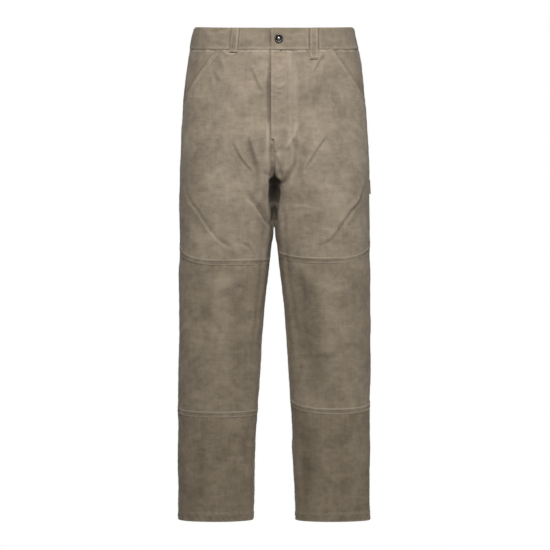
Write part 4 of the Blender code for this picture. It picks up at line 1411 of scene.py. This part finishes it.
    def build(self, workroom: Workroom, stitching: Stitching) -> None:
        """Makes the panel and its stitches."""
        patch = self.patch(workroom.tailor)
        name = self.side.name.lower()
        area = 0.111 if self.side is Side.RIGHT else 0.110
        workroom.cloth(f"thigh_front_{name}", patch, "thigh", "canvas", (0.335, 0.43), area)
        rows = len(patch.drop)
        mouth_end = float(np.searchsorted(patch.drop[:, 0], self.pocket_end) - 1) / rows
        mouth_rows = (2.2 * MM, 7.4 * MM)
        stitching.sew_beside(f"pocket_{name}", patch, Edge.START, mouth_rows, 0, mouth_end)
        crotch = float(np.searchsorted(patch.drop[:, -1], self.inseam_start)) / rows
        stitching.sew_beside(f"inseam_{name}", patch, Edge.END, INSEAM_ROWS, crotch, 1)
        sign = self.side.value
        stitching.bartack(f"pocket_{name}", patch, (sign * 113, 58), (sign * 0.66, 1), 8 * MM)
        stitching.bartack(f"pocket_{name}", patch, (sign * 172, 146), (1, 0.2), 8 * MM)
        if self.side is Side.LEFT:
            stitching.sew("fly", patch, patch.traced(self.fly_path))
            inner = tuple((across - 5.5, drop - (2 if drop > 230 else 0))
                          for across, drop in self.fly_path)
            stitching.sew("fly", patch, patch.traced(inner[:-1]))
            stitching.bartack("fly", patch, (2, 251), (1, 0.15), 10 * MM, 2.4 * MM)
            rise_start = float(np.searchsorted(patch.drop[:, -1], self.rise_start)) / rows
            rise_rows = (2.0 * MM, 7.0 * MM)
            stitching.sew_beside("front_rise", patch, Edge.END, rise_rows, rise_start, crotch)


@dataclass
class LowerFront:
    """The knee and shin panels of one leg, the shin turned up inside at the hem."""

    side: Side
    width: float = 240 * MM
    step: float = 2.9 * MM

    def build(self, workroom: Workroom, stitching: Stitching) -> None:
        """Makes both panels and their stitches."""
        upper, lower = (
            next(s for s in KNEE_SEAMS if s.side is self.side and s.name == name).drop
            for name in ("upper", "lower")
        )
        name = self.side.name.lower()
        hem = workroom.tailor.form.hem_drop
        self._panel(workroom, stitching, f"knee_front_{name}", upper, lower - Patch.SEAM,
                    "knee", (0.285, 0.345), 0.080)
        self._panel(workroom, stitching, f"shin_front_{name}", lower, hem, "shin",
                    (0.235, 0.235), 0.0515)

    def _panel(
        self, workroom: Workroom, stitching: Stitching, node: str, top: float, bottom: float,
        finish: str, flat: tuple[float, float], area: float,
    ) -> None:
        """Makes one panel.

        Args:
            workroom: Makes the piece.
            stitching: Takes its stitches.
            node: The CAD node that it replaces.
            top: The drop of its upper edge, at the side seam.
            bottom: The drop of its lower edge.
            finish: The name of its finish.
            flat: The width and length that it was cut to.
            area: The cut's area.
        """
        form = workroom.tailor.form
        top += Patch.SEAM
        shares, drops = panel_grid(top, bottom, self.width, self.step)
        hem = bottom == form.hem_drop
        wall = workroom.tailor.hemmed(drops)
        patch = workroom.tailor.patch(self.side, FRONT, shares, drops, wall=wall)
        seed = 51 + 4 * self.side.value + (1 if hem else 0)
        patch.sew_edge(Edge.START, PLAIN_SEAM, seed)
        patch.sew_edge(Edge.END, INSEAM, seed + 10)
        patch.lap(Edge.END, drops[:, 0] > 0, form.crotch_drop)
        patch.sew_edge(Edge.TOP, KNEE_EDGE, seed + 20)
        patch.sew_edge(Edge.BOTTOM, HEM_EDGE if hem else KNEE_EDGE, seed + 30)
        workroom.cloth(node, patch, finish, "canvas", flat, area)
        name = self.side.name.lower()
        stitching.sew_beside(f"inseam_{name}", patch, Edge.END, INSEAM_ROWS)
        if hem:
            hem_row = (form.hem_depth - 2.5 * MM,)
            stitching.sew_beside(f"hem_{name}", patch, Edge.BOTTOM, hem_row)


@dataclass
class BackPanel:
    """The back of one leg in a single length, from the waistband to the hem."""

    side: Side
    width: float = 290 * MM
    step: float = 3.8 * MM

    def build(
        self, workroom: Workroom, stitching: Stitching, with_pieces: tuple[bpy.types.Object, ...]
    ) -> None:
        """Makes the panel and its stitches.

        Args:
            workroom: Makes the piece.
            stitching: Takes its stitches.
            with_pieces: The separate pieces sewn to it.
        """
        form = workroom.tailor.form
        shares, drops = panel_grid(CLOTH_TOP, form.hem_drop, self.width, self.step)
        wall = workroom.tailor.hemmed(drops)
        patch = workroom.tailor.patch(self.side, BACK, shares, drops, wall=wall)
        seed = 71 + 5 * self.side.value
        patch.sew_edge(Edge.START, OUTSEAM, seed)
        patch.lap(Edge.START, drops[:, 0] > 0, form.crotch_drop)
        if self.side is Side.LEFT:
            patch.lap(Edge.END, drops[:, 0] < form.crotch_drop, form.crotch_drop)
        above = rounded_step((form.crotch_drop - drops) / (15 * MM))
        centre = OUTSEAM if self.side is Side.LEFT else PLAIN_SEAM
        patch.sew_edge(Edge.END, centre, seed + 10, above)
        patch.sew_edge(Edge.END, PLAIN_SEAM, seed + 11, 1 - above)
        patch.sew_edge(Edge.TOP, BAND_JOIN, seed + 20)
        patch.sew_edge(Edge.BOTTOM, HEM_EDGE, seed + 30)
        name = self.side.name.lower()
        workroom.cloth(f"back_{name}", patch, "back", "canvas", (0.36, 0.99), 0.262,
                       with_pieces=with_pieces)
        stitching.sew_beside(f"outseam_{name}", patch, Edge.START, BACK_SEAM_ROWS)
        if self.side is Side.LEFT:
            crotch = float(np.searchsorted(patch.drop[:, -1], form.crotch_drop)) / len(drops)
            stitching.sew_beside("back_rise", patch, Edge.END, BACK_SEAM_ROWS, 0, crotch)
        stitching.sew_beside(f"hem_{name}", patch, Edge.BOTTOM, (form.hem_depth - 2.5 * MM,))


@dataclass
class PocketFacing:
    """The cloth that shows in a pocket's mouth, let in under the front."""

    front: ThighFront
    under: float = 0.20
    depth: float = 2.6 * MM
    step: float = 3.2 * MM

    def build(self, workroom: Workroom) -> None:
        """Makes the facing."""
        tailor, side = workroom.tailor, self.front.side
        top, end = CLOTH_TOP, self.front.pocket_end
        drops = top + (end - top) * np.linspace(0, 1, round((end - top) / self.step) + 1)
        ends = tailor.form.share_at(FRONT, self.front.mouth(drops), drops) + self.under
        f = np.linspace(0, 1, 36)[None, :]
        shares, drops = ends[:, None] * f, drops[:, None] + 0 * f
        patch = tailor.patch(side, FRONT, shares, drops)
        outside = np.abs(patch.across) - self.front.mouth(drops)
        let_in = 1 - rounded_step((outside - 3 * MM) / (14 * MM))
        patch.lift -= 0.2 * MM + (self.depth - 0.2 * MM) * let_in
        patch.sew_edge(Edge.START, PLAIN_SEAM, 91 + side.value)
        patch.sew_edge(Edge.TOP, BAND_JOIN, 93 + side.value)
        # Shadow painted on the facing under the pocket's mouth
        patch.shade += np.exp(-((np.maximum(outside, 0) / (4.5 * MM)) ** 2))
        workroom.cloth(f"pocket_facing_{side.name.lower()}", patch, "facing", "facing",
                       (0.15, 0.11), 0.0115)


@dataclass
class KneeSeamBand:
    """A felled band over the join of two front panels, sewn with two rows."""

    seam: KneeSeam
    half: float = 6 * MM
    wall: float = 1.0 * MM
    gap: float = 0.3 * MM
    step: float = 2.4 * MM

    def build(self, workroom: Workroom, stitching: Stitching) -> None:
        """Makes the band and its stitches."""
        places = np.array([-1, -0.93, -0.8, -0.62, -0.42, -0.22, 0, 0.22, 0.42, 0.62, 0.8, 0.93, 1])
        rows = (self.seam.drop + self.half * places)[:, None]
        f = np.linspace(0, 1, round(240 * MM / self.step) + 1)[None, :]
        shares, drops = f + 0 * rows, rows + 0 * f
        crown = (0.45 + 0.55 * (1 - np.abs(places) ** 5) - 0.22 * np.exp(-((places / 0.3) ** 2)))
        crown = crown[:, None] * self.wall + 0 * shares
        patch = workroom.tailor.patch(
            self.seam.side, FRONT, shares, drops, lift=self.gap + crown, wall=crown
        )
        seed = 111 + 3 * self.seam.side.value + (1 if self.seam.name == "upper" else 0)
        along = patch.edge_distance(Edge.START) / MM
        wave = ripple(along + 0.8 * (drops - self.seam.drop) / MM, 9, seed)
        flat = 1 - np.abs(places[:, None])
        patch.lift += 0.35 * MM * wave * np.sqrt(flat)
        edges = np.exp(-(((1 - np.abs(places[:, None])) / 0.26) ** 2))
        patch.wear += edges * (1.5 + 0.6 * wave) + 0.2 * np.clip(wave, 0, 1)
        # Shade painted along the band's middle, between its pale edges
        patch.shade += 0.42 * np.exp(-((places[:, None] / 0.55) ** 4))
        name = f"{self.seam.name}_{self.seam.side.name.lower()}"
        width = 0.272 if self.seam.name == "upper" else 0.232
        workroom.cloth(f"knee_seam_{name}", patch, "seam", "seam", (width, 0.0125),
                       rests_on=(f"cloth_knee_front_{self.seam.side.name.lower()}",))
        for edge in (Edge.TOP, Edge.BOTTOM):
            stitching.sew(f"knee_seam_{name}", patch, patch.beside(edge, 2.0 * MM))


@dataclass
class Waistband:
    """One band from its lapped left end, round the back, to the right end under the lap."""

    wall: float = 2.4 * MM
    lift: float = 1.0 * MM
    past_centre: float = 6 * MM
    underlap: float = 26 * MM
    lap_lift: float = 2.7 * MM
    lap_flat: float = 32 * MM
    lap_slope: float = 34 * MM
    corner: float = 7 * MM
    quarter: float = 225 * MM
    step: float = 2.8 * MM
    rows: tuple[float, ...] = (0, 0.02, 0.05, 0.09, 0.15, 0.22, 0.30, 0.38, 0.46, 0.54, 0.62,
                               0.70, 0.78, 0.85, 0.91, 0.95, 0.98, 1)

    def lap(self, along: Array) -> Array:
        """How far the left end is raised over the right, by distance from its edge."""
        return self.lap_lift * rounded_step((self.lap_flat + self.lap_slope - along) / self.lap_slope)

    def build(self, workroom: Workroom, stitching: Stitching) -> None:
        """Makes the band and its stitches."""
        tailor = workroom.tailor
        parts = []
        quarters = ((Side.LEFT, FRONT), (Side.LEFT, BACK), (Side.RIGHT, BACK), (Side.RIGHT, FRONT))
        for side, face in quarters:
            past = self.past_centre if side is Side.LEFT else self.underlap
            turn = np.linspace(0, 1, round(self.quarter / self.step) + 1)
            shares = turn if (side is Side.LEFT) == (face is BACK) else turn[::-1]
            part = self._stretch(tailor, side, face, shares, -past if face is FRONT else 0.0)
            keep = slice(None) if face is FRONT else slice(1, -1) if side is Side.LEFT else slice(0, -1)
            parts.append((part, keep))
        names = ("form_points", "outward", "across", "drop", "lift", "wall", "wear", "shade")
        joined = [np.concatenate([getattr(p, n)[:, keep] for p, keep in parts], axis=1) for n in names]
        patch = Patch(*joined)
        patch.sew_edge(Edge.TOP, SeamEdge(roll=0.7, pucker=0.22, pitch=12, reach=8, frost_and_pucker_shade=0.30,
                                          frost_reach=1.8), 131)
        patch.sew_edge(Edge.BOTTOM, SeamEdge(strip=3.6, raised=0.3, roll=0.5, pucker=0.55, pitch=10,
                                             reach=9, frost_and_pucker_shade=0.9, frost_reach=2.0), 133)
        patch.sew_edge(Edge.START, SeamEdge(roll=0.6, pucker=0.2, frost_and_pucker_shade=0.4, frost_reach=1.8), 135)
        self._puckers(patch)
        workroom.cloth("waistband", patch, "band", "canvas", (0.92, 0.0455), rests_on=())
        for edge in (Edge.TOP, Edge.BOTTOM):
            stitching.sew("waistband", patch, patch.beside(edge, 2.4 * MM))
        stitching.sew("waistband", patch, patch.beside(Edge.START, 2.4 * MM, 0.05, 0.95))

    def _stretch(
        self, tailor: Tailor, side: Side, face: Face, shares: Array, edge: float
    ) -> Patch:
        """A quarter of the band, laid out by distance to its edge next to the fly."""
        form = tailor.form
        rows = np.array(self.rows)[:, None] * form.waistband_height
        shares, drops = shares + 0 * rows, rows + 0 * shares
        points, _ = form.surface(face, shares * math.pi / 2, drops)
        across = points[..., 0]
        widest = form.column("half_width", drops)
        if face is FRONT:
            across = widest - (widest - across) * (widest - edge) / widest
        at_side = np.clip((across - widest + self.corner) / self.corner, 0, 1) ** 2
        drops = drops + 0.55 * self.corner * at_side * (1 - drops / form.waistband_height) ** 3
        lift = self.lift + (self.lap(across - edge) if (side, face) == (Side.LEFT, FRONT) else 0)
        made = tailor.patch_across(face, side.value * across, drops, lift + 0 * across, self.wall)
        # Shadow painted on the right end beside the lap's edge, with a notch
        if (side, face) == (Side.RIGHT, FRONT):
            x, z = made.across / MM, made.drop / MM
            away = np.maximum(-self.past_centre / MM - x, 0)
            notch = 1.6 * np.exp(-(((z - 20) / 4) ** 2))
            made.shade += 0.75 * np.exp(-((away / (4.2 + notch)) ** 4))
        return made

    @staticmethod
    def _puckers(patch: Patch) -> None:
        """Level creases that the belt and the button have pulled into the band."""
        x, z = patch.across / MM, patch.drop / MM
        front = patch.form_points[..., 1] < 0
        for left, right, level, tilt, width, rise in (
            (18, 78, 25, 0.02, 3.2, 0.9), (20, 60, 38, -0.10, 3.0, 0.7),
            (-150, -96, 18, 0.05, 4, 0.6), (-66, -20, 30, -0.04, 4.5, 0.6),
            (92, 150, 30, 0.05, 4.5, 0.6), (-140, -90, 34, 0.0, 4, 0.5),
        ):
            f = np.clip((x - left) / (right - left), 0, 1)
            bend = 2.0 * np.sin(f * 7 + level)
            along = np.sqrt(np.clip(4 * f * (1 - f), 0, 1)) * front
            away = (z - level - tilt * (x - left) - bend) / width
            patch.lift += rise * MM * along * np.exp(-(away**2))
            patch.wear += 0.5 * along * np.exp(-((away / 0.6) ** 2))
        # Shadow and dirt painted on the band beside each loop, rubbed pale just beyond
        for loop in BELT_LOOPS:
            middle = loop.top + (loop.bottom - loop.top) * patch.drop / loop.drop
            beside = np.abs(patch.across - middle) / MM - 8.4
            level = (patch.form_points[..., 1] < 0) == (loop.face is FRONT)
            patch.shade += 0.8 * level * np.exp(-((beside / 2.2) ** 2))
            patch.wear += 0.5 * level * np.exp(-(((beside - 4) / 1.8) ** 2))
        wave = value_noise(patch.form_points, (14 * MM, 14 * MM, 9 * MM), 137)
        patch.lift += 0.6 * MM * wave


@dataclass
class BeltLoop:
    """A folded strip over the waistband, bartacked at both ends."""

    loop: Loop
    width: float = 14.5 * MM
    wall: float = 1.6 * MM
    bow: float = 1.4 * MM
    gap: float = 0.3 * MM
    band_lift: float = 1.0 * MM

    def build(self, workroom: Workroom, stitching: Stitching) -> None:
        """Makes the loop and its stitches."""
        loop = self.loop
        f = np.linspace(0, 1, 26)[:, None]
        places = np.array([-1, -0.94, -0.8, -0.6, -0.36, -0.12, 0.12, 0.36, 0.6, 0.8, 0.94, 1])
        across = loop.top + (loop.bottom - loop.top) * f + places * self.width / 2
        drops = (MM + (loop.drop - MM) * f) + 0 * places
        bow = self.bow * np.sin(math.pi * f) ** 0.6
        lift = self.band_lift + self.gap + bow + self.wall + 0 * across
        edges = np.exp(-((1 - np.abs(places)) / 0.12))
        lift = lift - 0.4 * MM * edges + 0.3 * MM * np.exp(-(((np.abs(places) - 0.72) / 0.2) ** 2))
        patch = workroom.tailor.patch_across(loop.face, across, drops, lift, self.wall)
        wave = ripple(patch.drop / MM + 3 * places, 8, 151 + len(loop.name))
        patch.wear += 0.5 * edges + 0.25 * np.clip(wave, 0, 1)
        # Shade painted down the loop's middle
        patch.shade += 0.42 * np.exp(-((places / 0.6) ** 4)) * np.sin(math.pi * f) ** 0.5
        workroom.cloth(f"belt_loop_{loop.name}", patch, "seam", "seam",
                       (self.width, loop.drop + 2 * MM))
        group = f"belt_loop_{loop.name}"
        for edge in (Edge.START, Edge.END):
            stitching.sew(group, patch, patch.beside(edge, 2.6 * MM))
        columns = np.linspace(0.6, len(places) - 1.6, 20)
        for row in (1.5, len(drops) - 2.5):
            points, normals = stitching.on_surface(patch.outer(), np.full(20, row), columns)
            run = np.gradient(points, axis=0)
            bar = unit(np.cross(unit(run), normals)) * 2.0 * MM + run * 0.5
            stitching.rows.setdefault(group, []).append((points, bar, normals))


@dataclass
class FlyZip:
    """The closed zip behind the fly: two tapes with metal teeth between them."""

    edges: tuple[float, float] = (-15 * MM, 15 * MM)
    top: float = 62 * MM
    end: float = 182 * MM
    wall: float = 1.0 * MM
    depth: float = 2.4 * MM
    tooth: float = 1.9 * MM

    def build(self, workroom: Workroom) -> None:
        """Makes the tapes and the teeth."""
        drops = np.linspace(self.top, self.end, 60)[:, None]
        across = np.linspace(*self.edges, 16)[None, :]
        across, drops = across + 0 * drops, drops + 0 * across
        patch = workroom.tailor.patch_across(FRONT, across, drops, -self.depth, self.wall)
        ThighFront(Side.RIGHT).dip_beside_fly(patch, whole=True)
        tapes = workroom.shell("tape_fly_zip", patch, "tape")
        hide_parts("fly_zip")
        self._teeth(workroom, patch)
        log.info("tape_fly_zip with its teeth")

    def _teeth(self, workroom: Workroom, patch: Patch) -> None:
        """Small blocks down the middle of the tapes' inner side, by turns left and right."""
        rows = np.arange(2 * MM, self.end - self.top - 4 * MM, self.tooth)
        level = rows / (self.end - self.top) * (len(patch.drop) - 1)
        points, normals = Stitching.on_surface(patch.inner(), level, np.full(len(level), 7.5))
        points = points + [0, 0.65 * MM, 0]
        turn = np.where(np.arange(len(points)) % 2, 1, -1)[:, None]
        points = points + turn * np.array([0.7 * MM, 0, 0])
        half = np.array([1.5, 0.55, 0.42]) * MM
        corners = np.array(list(product((-1, 1), repeat=3))) * half
        blocks = (points[:, None] + corners).reshape(-1, 3)
        box = np.array([(0, 1, 3, 2), (4, 6, 7, 5), (0, 4, 5, 1), (2, 3, 7, 6), (0, 2, 6, 4),
                        (1, 5, 7, 3)])
        faces = (box + (np.arange(len(points)) * 8)[:, None, None]).reshape(-1, 4)
        teeth = workroom.mesh("zip_teeth", blocks, faces, "teeth")


@dataclass
class WaistButton:
    """A turned shank button: a black rim and sunk ring round a bright domed middle."""

    across: float = 9 * MM
    drop: float = 22 * MM
    radius: float = 8.4 * MM
    shank: float = 3.0 * MM
    steps: int = 64
    stand_off: float = 4.0 * MM

    def profile(self) -> Array:
        """Radius, height and wear of the turned outline, from the middle outwards."""
        cap = self.shank - MM
        outline = (
            (0, 3.0, 1), (0.9, 2.93, 1), (1.7, 2.72, 1), (2.3, 2.4, 0.8), (2.8, 1.95, 0),
            (3.3, 1.62, 0), (4.2, 1.5, 0), (5.3, 1.62, 0), (5.9, 2.05, 0), (6.4, 2.5, 0.12),
            (6.9, 2.72, 0.25), (7.4, 2.66, 0.12), (7.9, 2.3, 0), (8.25, 1.8, 0), (8.4, 1.3, 0),
            (8.2, 0.6, 0), (7.6, 0.1, 0), (3.4, -0.35, 0), (3.0, -0.6, 0),
        )
        rows = [(r * MM, cap + h * MM, worn) for r, h, worn in outline]
        return np.array([*rows, (self.shank, 0.0, 0), (0.0, 0.0, 0)])

    def build(self, workroom: Workroom) -> None:
        """Makes the button and seats it on the waistband's lap."""
        profile = self.profile()
        turn = np.arange(self.steps) * 2 * math.pi / self.steps
        rings = profile[1:-1]
        x = rings[:, :1] * np.cos(turn)
        z = rings[:, :1] * np.sin(turn)
        y = -rings[:, 1:2] + 0 * x
        points = np.stack([x, y, z], axis=-1).reshape(-1, 3)
        ends = np.array([(0, -profile[0, 1], 0), (0, -profile[-1, 1], 0)])
        points = np.concatenate([points, ends])
        n, count = self.steps, len(rings)
        quads = [
            (i * n + k, i * n + (k + 1) % n, (i + 1) * n + (k + 1) % n, (i + 1) * n + k)
            for i in range(count - 1) for k in range(n)
        ]
        form = workroom.tailor.form
        drop = form.row(Side.LEFT, FRONT, np.array(1.0), np.array(self.drop))
        seat, _ = form.surface_across(FRONT, np.array(self.across), drop)
        points = points + seat + [0, -self.stand_off, 0]
        triangles = [
            tri for a, b, c, d in quads for tri in ((a, b, c), (a, c, d))
        ] + [(count * n, (k + 1) % n, k) for k in range(n)]
        last = (count - 1) * n
        triangles += [(count * n + 1, last + k, last + (k + 1) % n) for k in range(n)]
        faces = np.array(triangles)
        corners = points[faces] - points.mean(0)
        if np.linalg.det(corners).sum() < 0:
            faces = faces[:, ::-1]
        button = workroom.mesh("metal_waist_button", points, faces, "button")
        wear = np.concatenate([np.repeat(rings[:, 2], n), [1, 0]])
        workroom.paint(button, "wear", wear)
        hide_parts("waist_button")
        log.info("%s seated %.1f mm off the form", button.name, self.stand_off / MM)


@dataclass
class SideTab:
    """A plain folded strip sewn into the left side seam, its lower edge slanted."""

    top: float = 313 * MM
    bottom: float = 341 * MM
    out: float = 4.2 * MM
    slant: float = 1.8 * MM
    wall: float = 1.6 * MM
    seam: float = 0.3 * MM

    def build(self, workroom: Workroom, stitching: Stitching) -> bpy.types.Object:
        """Makes the tab and its row of stitches, and gives the tab."""
        start = float(workroom.tailor.form.column("half_width", np.array(self.top))) + self.seam
        rows = np.linspace(0, 1, 22)[:, None]
        across = np.array([0, 0.2, 0.45, 0.7, 0.88, 0.97, 1])[None, :]
        x = start + across * (self.out - self.slant * (1 - rows))
        z = -(self.top + (self.bottom - self.top + self.slant * across) * rows)
        half = self.wall / 2 * np.sqrt(np.clip(1 - (across - 0.02) ** 6, 0.02, 1))
        bend = 0.25 * MM * np.sin(rows * 5) * across
        points = np.stack([x, 0 * x, z + 0 * x], axis=-1)
        outward = np.broadcast_to([0.0, -1.0, 0.0], points.shape)
        zero = np.zeros(x.shape)
        patch = Patch(points, outward, x, -z + 0 * x, half + bend, 2 * half + zero, zero, zero)
        patch.wear = 0.25 + 0.5 * np.exp(-(((1 - across) / 0.2) ** 2)) + zero
        tab = workroom.shell("cloth_side_tab", patch, "seam")
        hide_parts("side_tab")
        line = (np.linspace(1, 20, 12), np.full(12, 1.6))
        stitching.sew("side_tab", patch, line)
        return tab


@dataclass(frozen=True)
class Softbox:
    """A large soft studio lamp."""

    name: str
    place: tuple[float, float, float]
    aim: tuple[float, float, float]
    size: tuple[float, float]
    watts: float


@dataclass
class Studio:
    """A pale floor in white surroundings, soft lamps, and the camera of the photograph."""

    camera_place: tuple[float, float, float] = (0.0015, -5.0, -0.508)
    lens: float = 159.65
    floor_level: float = -1.40
    fill: float = 0.15
    lamps: tuple[Softbox, ...] = (
        Softbox("key", (-0.06, -1.45, 0.75), (0, 0, -0.25), (0.8, 0.5), 27),
        Softbox("side_right", (1.75, -0.90, -0.45), (0, 0, -0.55), (0.9, 0.9), 6),
        Softbox("back_left", (-1.3, 2.0, 0.9), (0, 0, -0.5), (1.2, 1.2), 12),
        Softbox("back_right", (1.3, 2.0, 0.9), (0, 0, -0.5), (1.2, 1.2), 12),
    )

    def build(self) -> None:
        """Sets up the floor, the surroundings, the lamps and the camera."""
        self._floor()
        self._surroundings()
        for lamp in self.lamps:
            self._lamp(lamp)
        self._camera()
        log.info("studio with %d lamps", len(self.lamps))

    def _floor(self) -> None:
        """A plain pale floor."""
        mesh = bpy.data.meshes.new("floor")
        far = 40.0
        corners = [(-far, -far), (far, -far), (far, far), (-far, far)]
        mesh.from_pydata([(x, y, self.floor_level) for x, y in corners], [], [(0, 1, 2, 3)])
        graph = Graph("Pale floor")
        material = graph.finish({"Base Color": (0.75, 0.75, 0.75, 1), "Roughness": 0.9})
        white = graph.add("Emission", {"Color": (1, 1, 1, 1), "Strength": 1.0})
        path = graph.add("LightPath")
        either = graph.add("MixShader", {
            0: path.outputs["Is Camera Ray"], 1: graph.shader.outputs[0], 2: white.outputs[0],
        })
        graph.links.new(either.outputs[0], graph.nodes["Material Output"].inputs[0])
        mesh.materials.append(material)
        placed("floor", mesh)

    def _surroundings(self) -> None:
        """White as seen, and dimmer as a source of light."""
        world = bpy.data.worlds.new("White studio")
        world.use_nodes = True
        bpy.context.scene.world = world
        nodes, links = world.node_tree.nodes, world.node_tree.links
        seen = nodes["Background"]
        seen.inputs["Color"].default_value = (1, 1, 1, 1)
        fill = nodes.new("ShaderNodeBackground")
        fill.inputs["Color"].default_value = (1, 1, 1, 1)
        fill.inputs["Strength"].default_value = self.fill
        path, either = nodes.new("ShaderNodeLightPath"), nodes.new("ShaderNodeMixShader")
        links.new(path.outputs["Is Camera Ray"], either.inputs[0])
        links.new(fill.outputs[0], either.inputs[1])
        links.new(seen.outputs[0], either.inputs[2])
        links.new(either.outputs[0], nodes["World Output"].inputs[0])
        bpy.context.scene.view_settings.view_transform = "Standard"

    @staticmethod
    def _lamp(lamp: Softbox) -> None:
        """Places one soft lamp."""
        data = bpy.data.lights.new(lamp.name, "AREA")
        data.shape = "RECTANGLE"
        data.size, data.size_y = lamp.size
        data.energy = lamp.watts
        light = placed(lamp.name, data)
        light.location = lamp.place
        way = np.array(lamp.aim) - np.array(lamp.place)
        level = math.hypot(way[0], way[1])
        light.rotation_euler = (math.atan2(level, -way[2]), 0, math.atan2(-way[0], way[1]))

    def _camera(self) -> None:
        """A long lens level with the knees, straight in front."""
        data = bpy.data.cameras.new("camera")
        data.sensor_width = 36
        data.lens = self.lens
        camera = placed("camera", data)
        camera.location = self.camera_place
        camera.rotation_euler = (math.pi / 2, 0, 0)
        bpy.context.scene.camera = camera


def main() -> None:
    """Builds every piece in order, then the studio."""
    logging.basicConfig(level=logging.INFO, format="%(message)s")
    workroom = Workroom()
    stitching = Stitching(workroom)
    Waistband().build(workroom, stitching)
    tab = SideTab().build(workroom, stitching)
    for side in Side:
        front = ThighFront(side)
        front.build(workroom, stitching)
        PocketFacing(front).build(workroom)
        LowerFront(side).build(workroom, stitching)
        BackPanel(side).build(workroom, stitching, (tab,) if side is Side.LEFT else ())
    for seam in KNEE_SEAMS:
        KneeSeamBand(seam).build(workroom, stitching)
    for loop in BELT_LOOPS:
        BeltLoop(loop).build(workroom, stitching)
    FlyZip().build(workroom)
    WaistButton().build(workroom)
    stitching.finish()
    Studio().build()


if __name__ == "__main__":
    main()
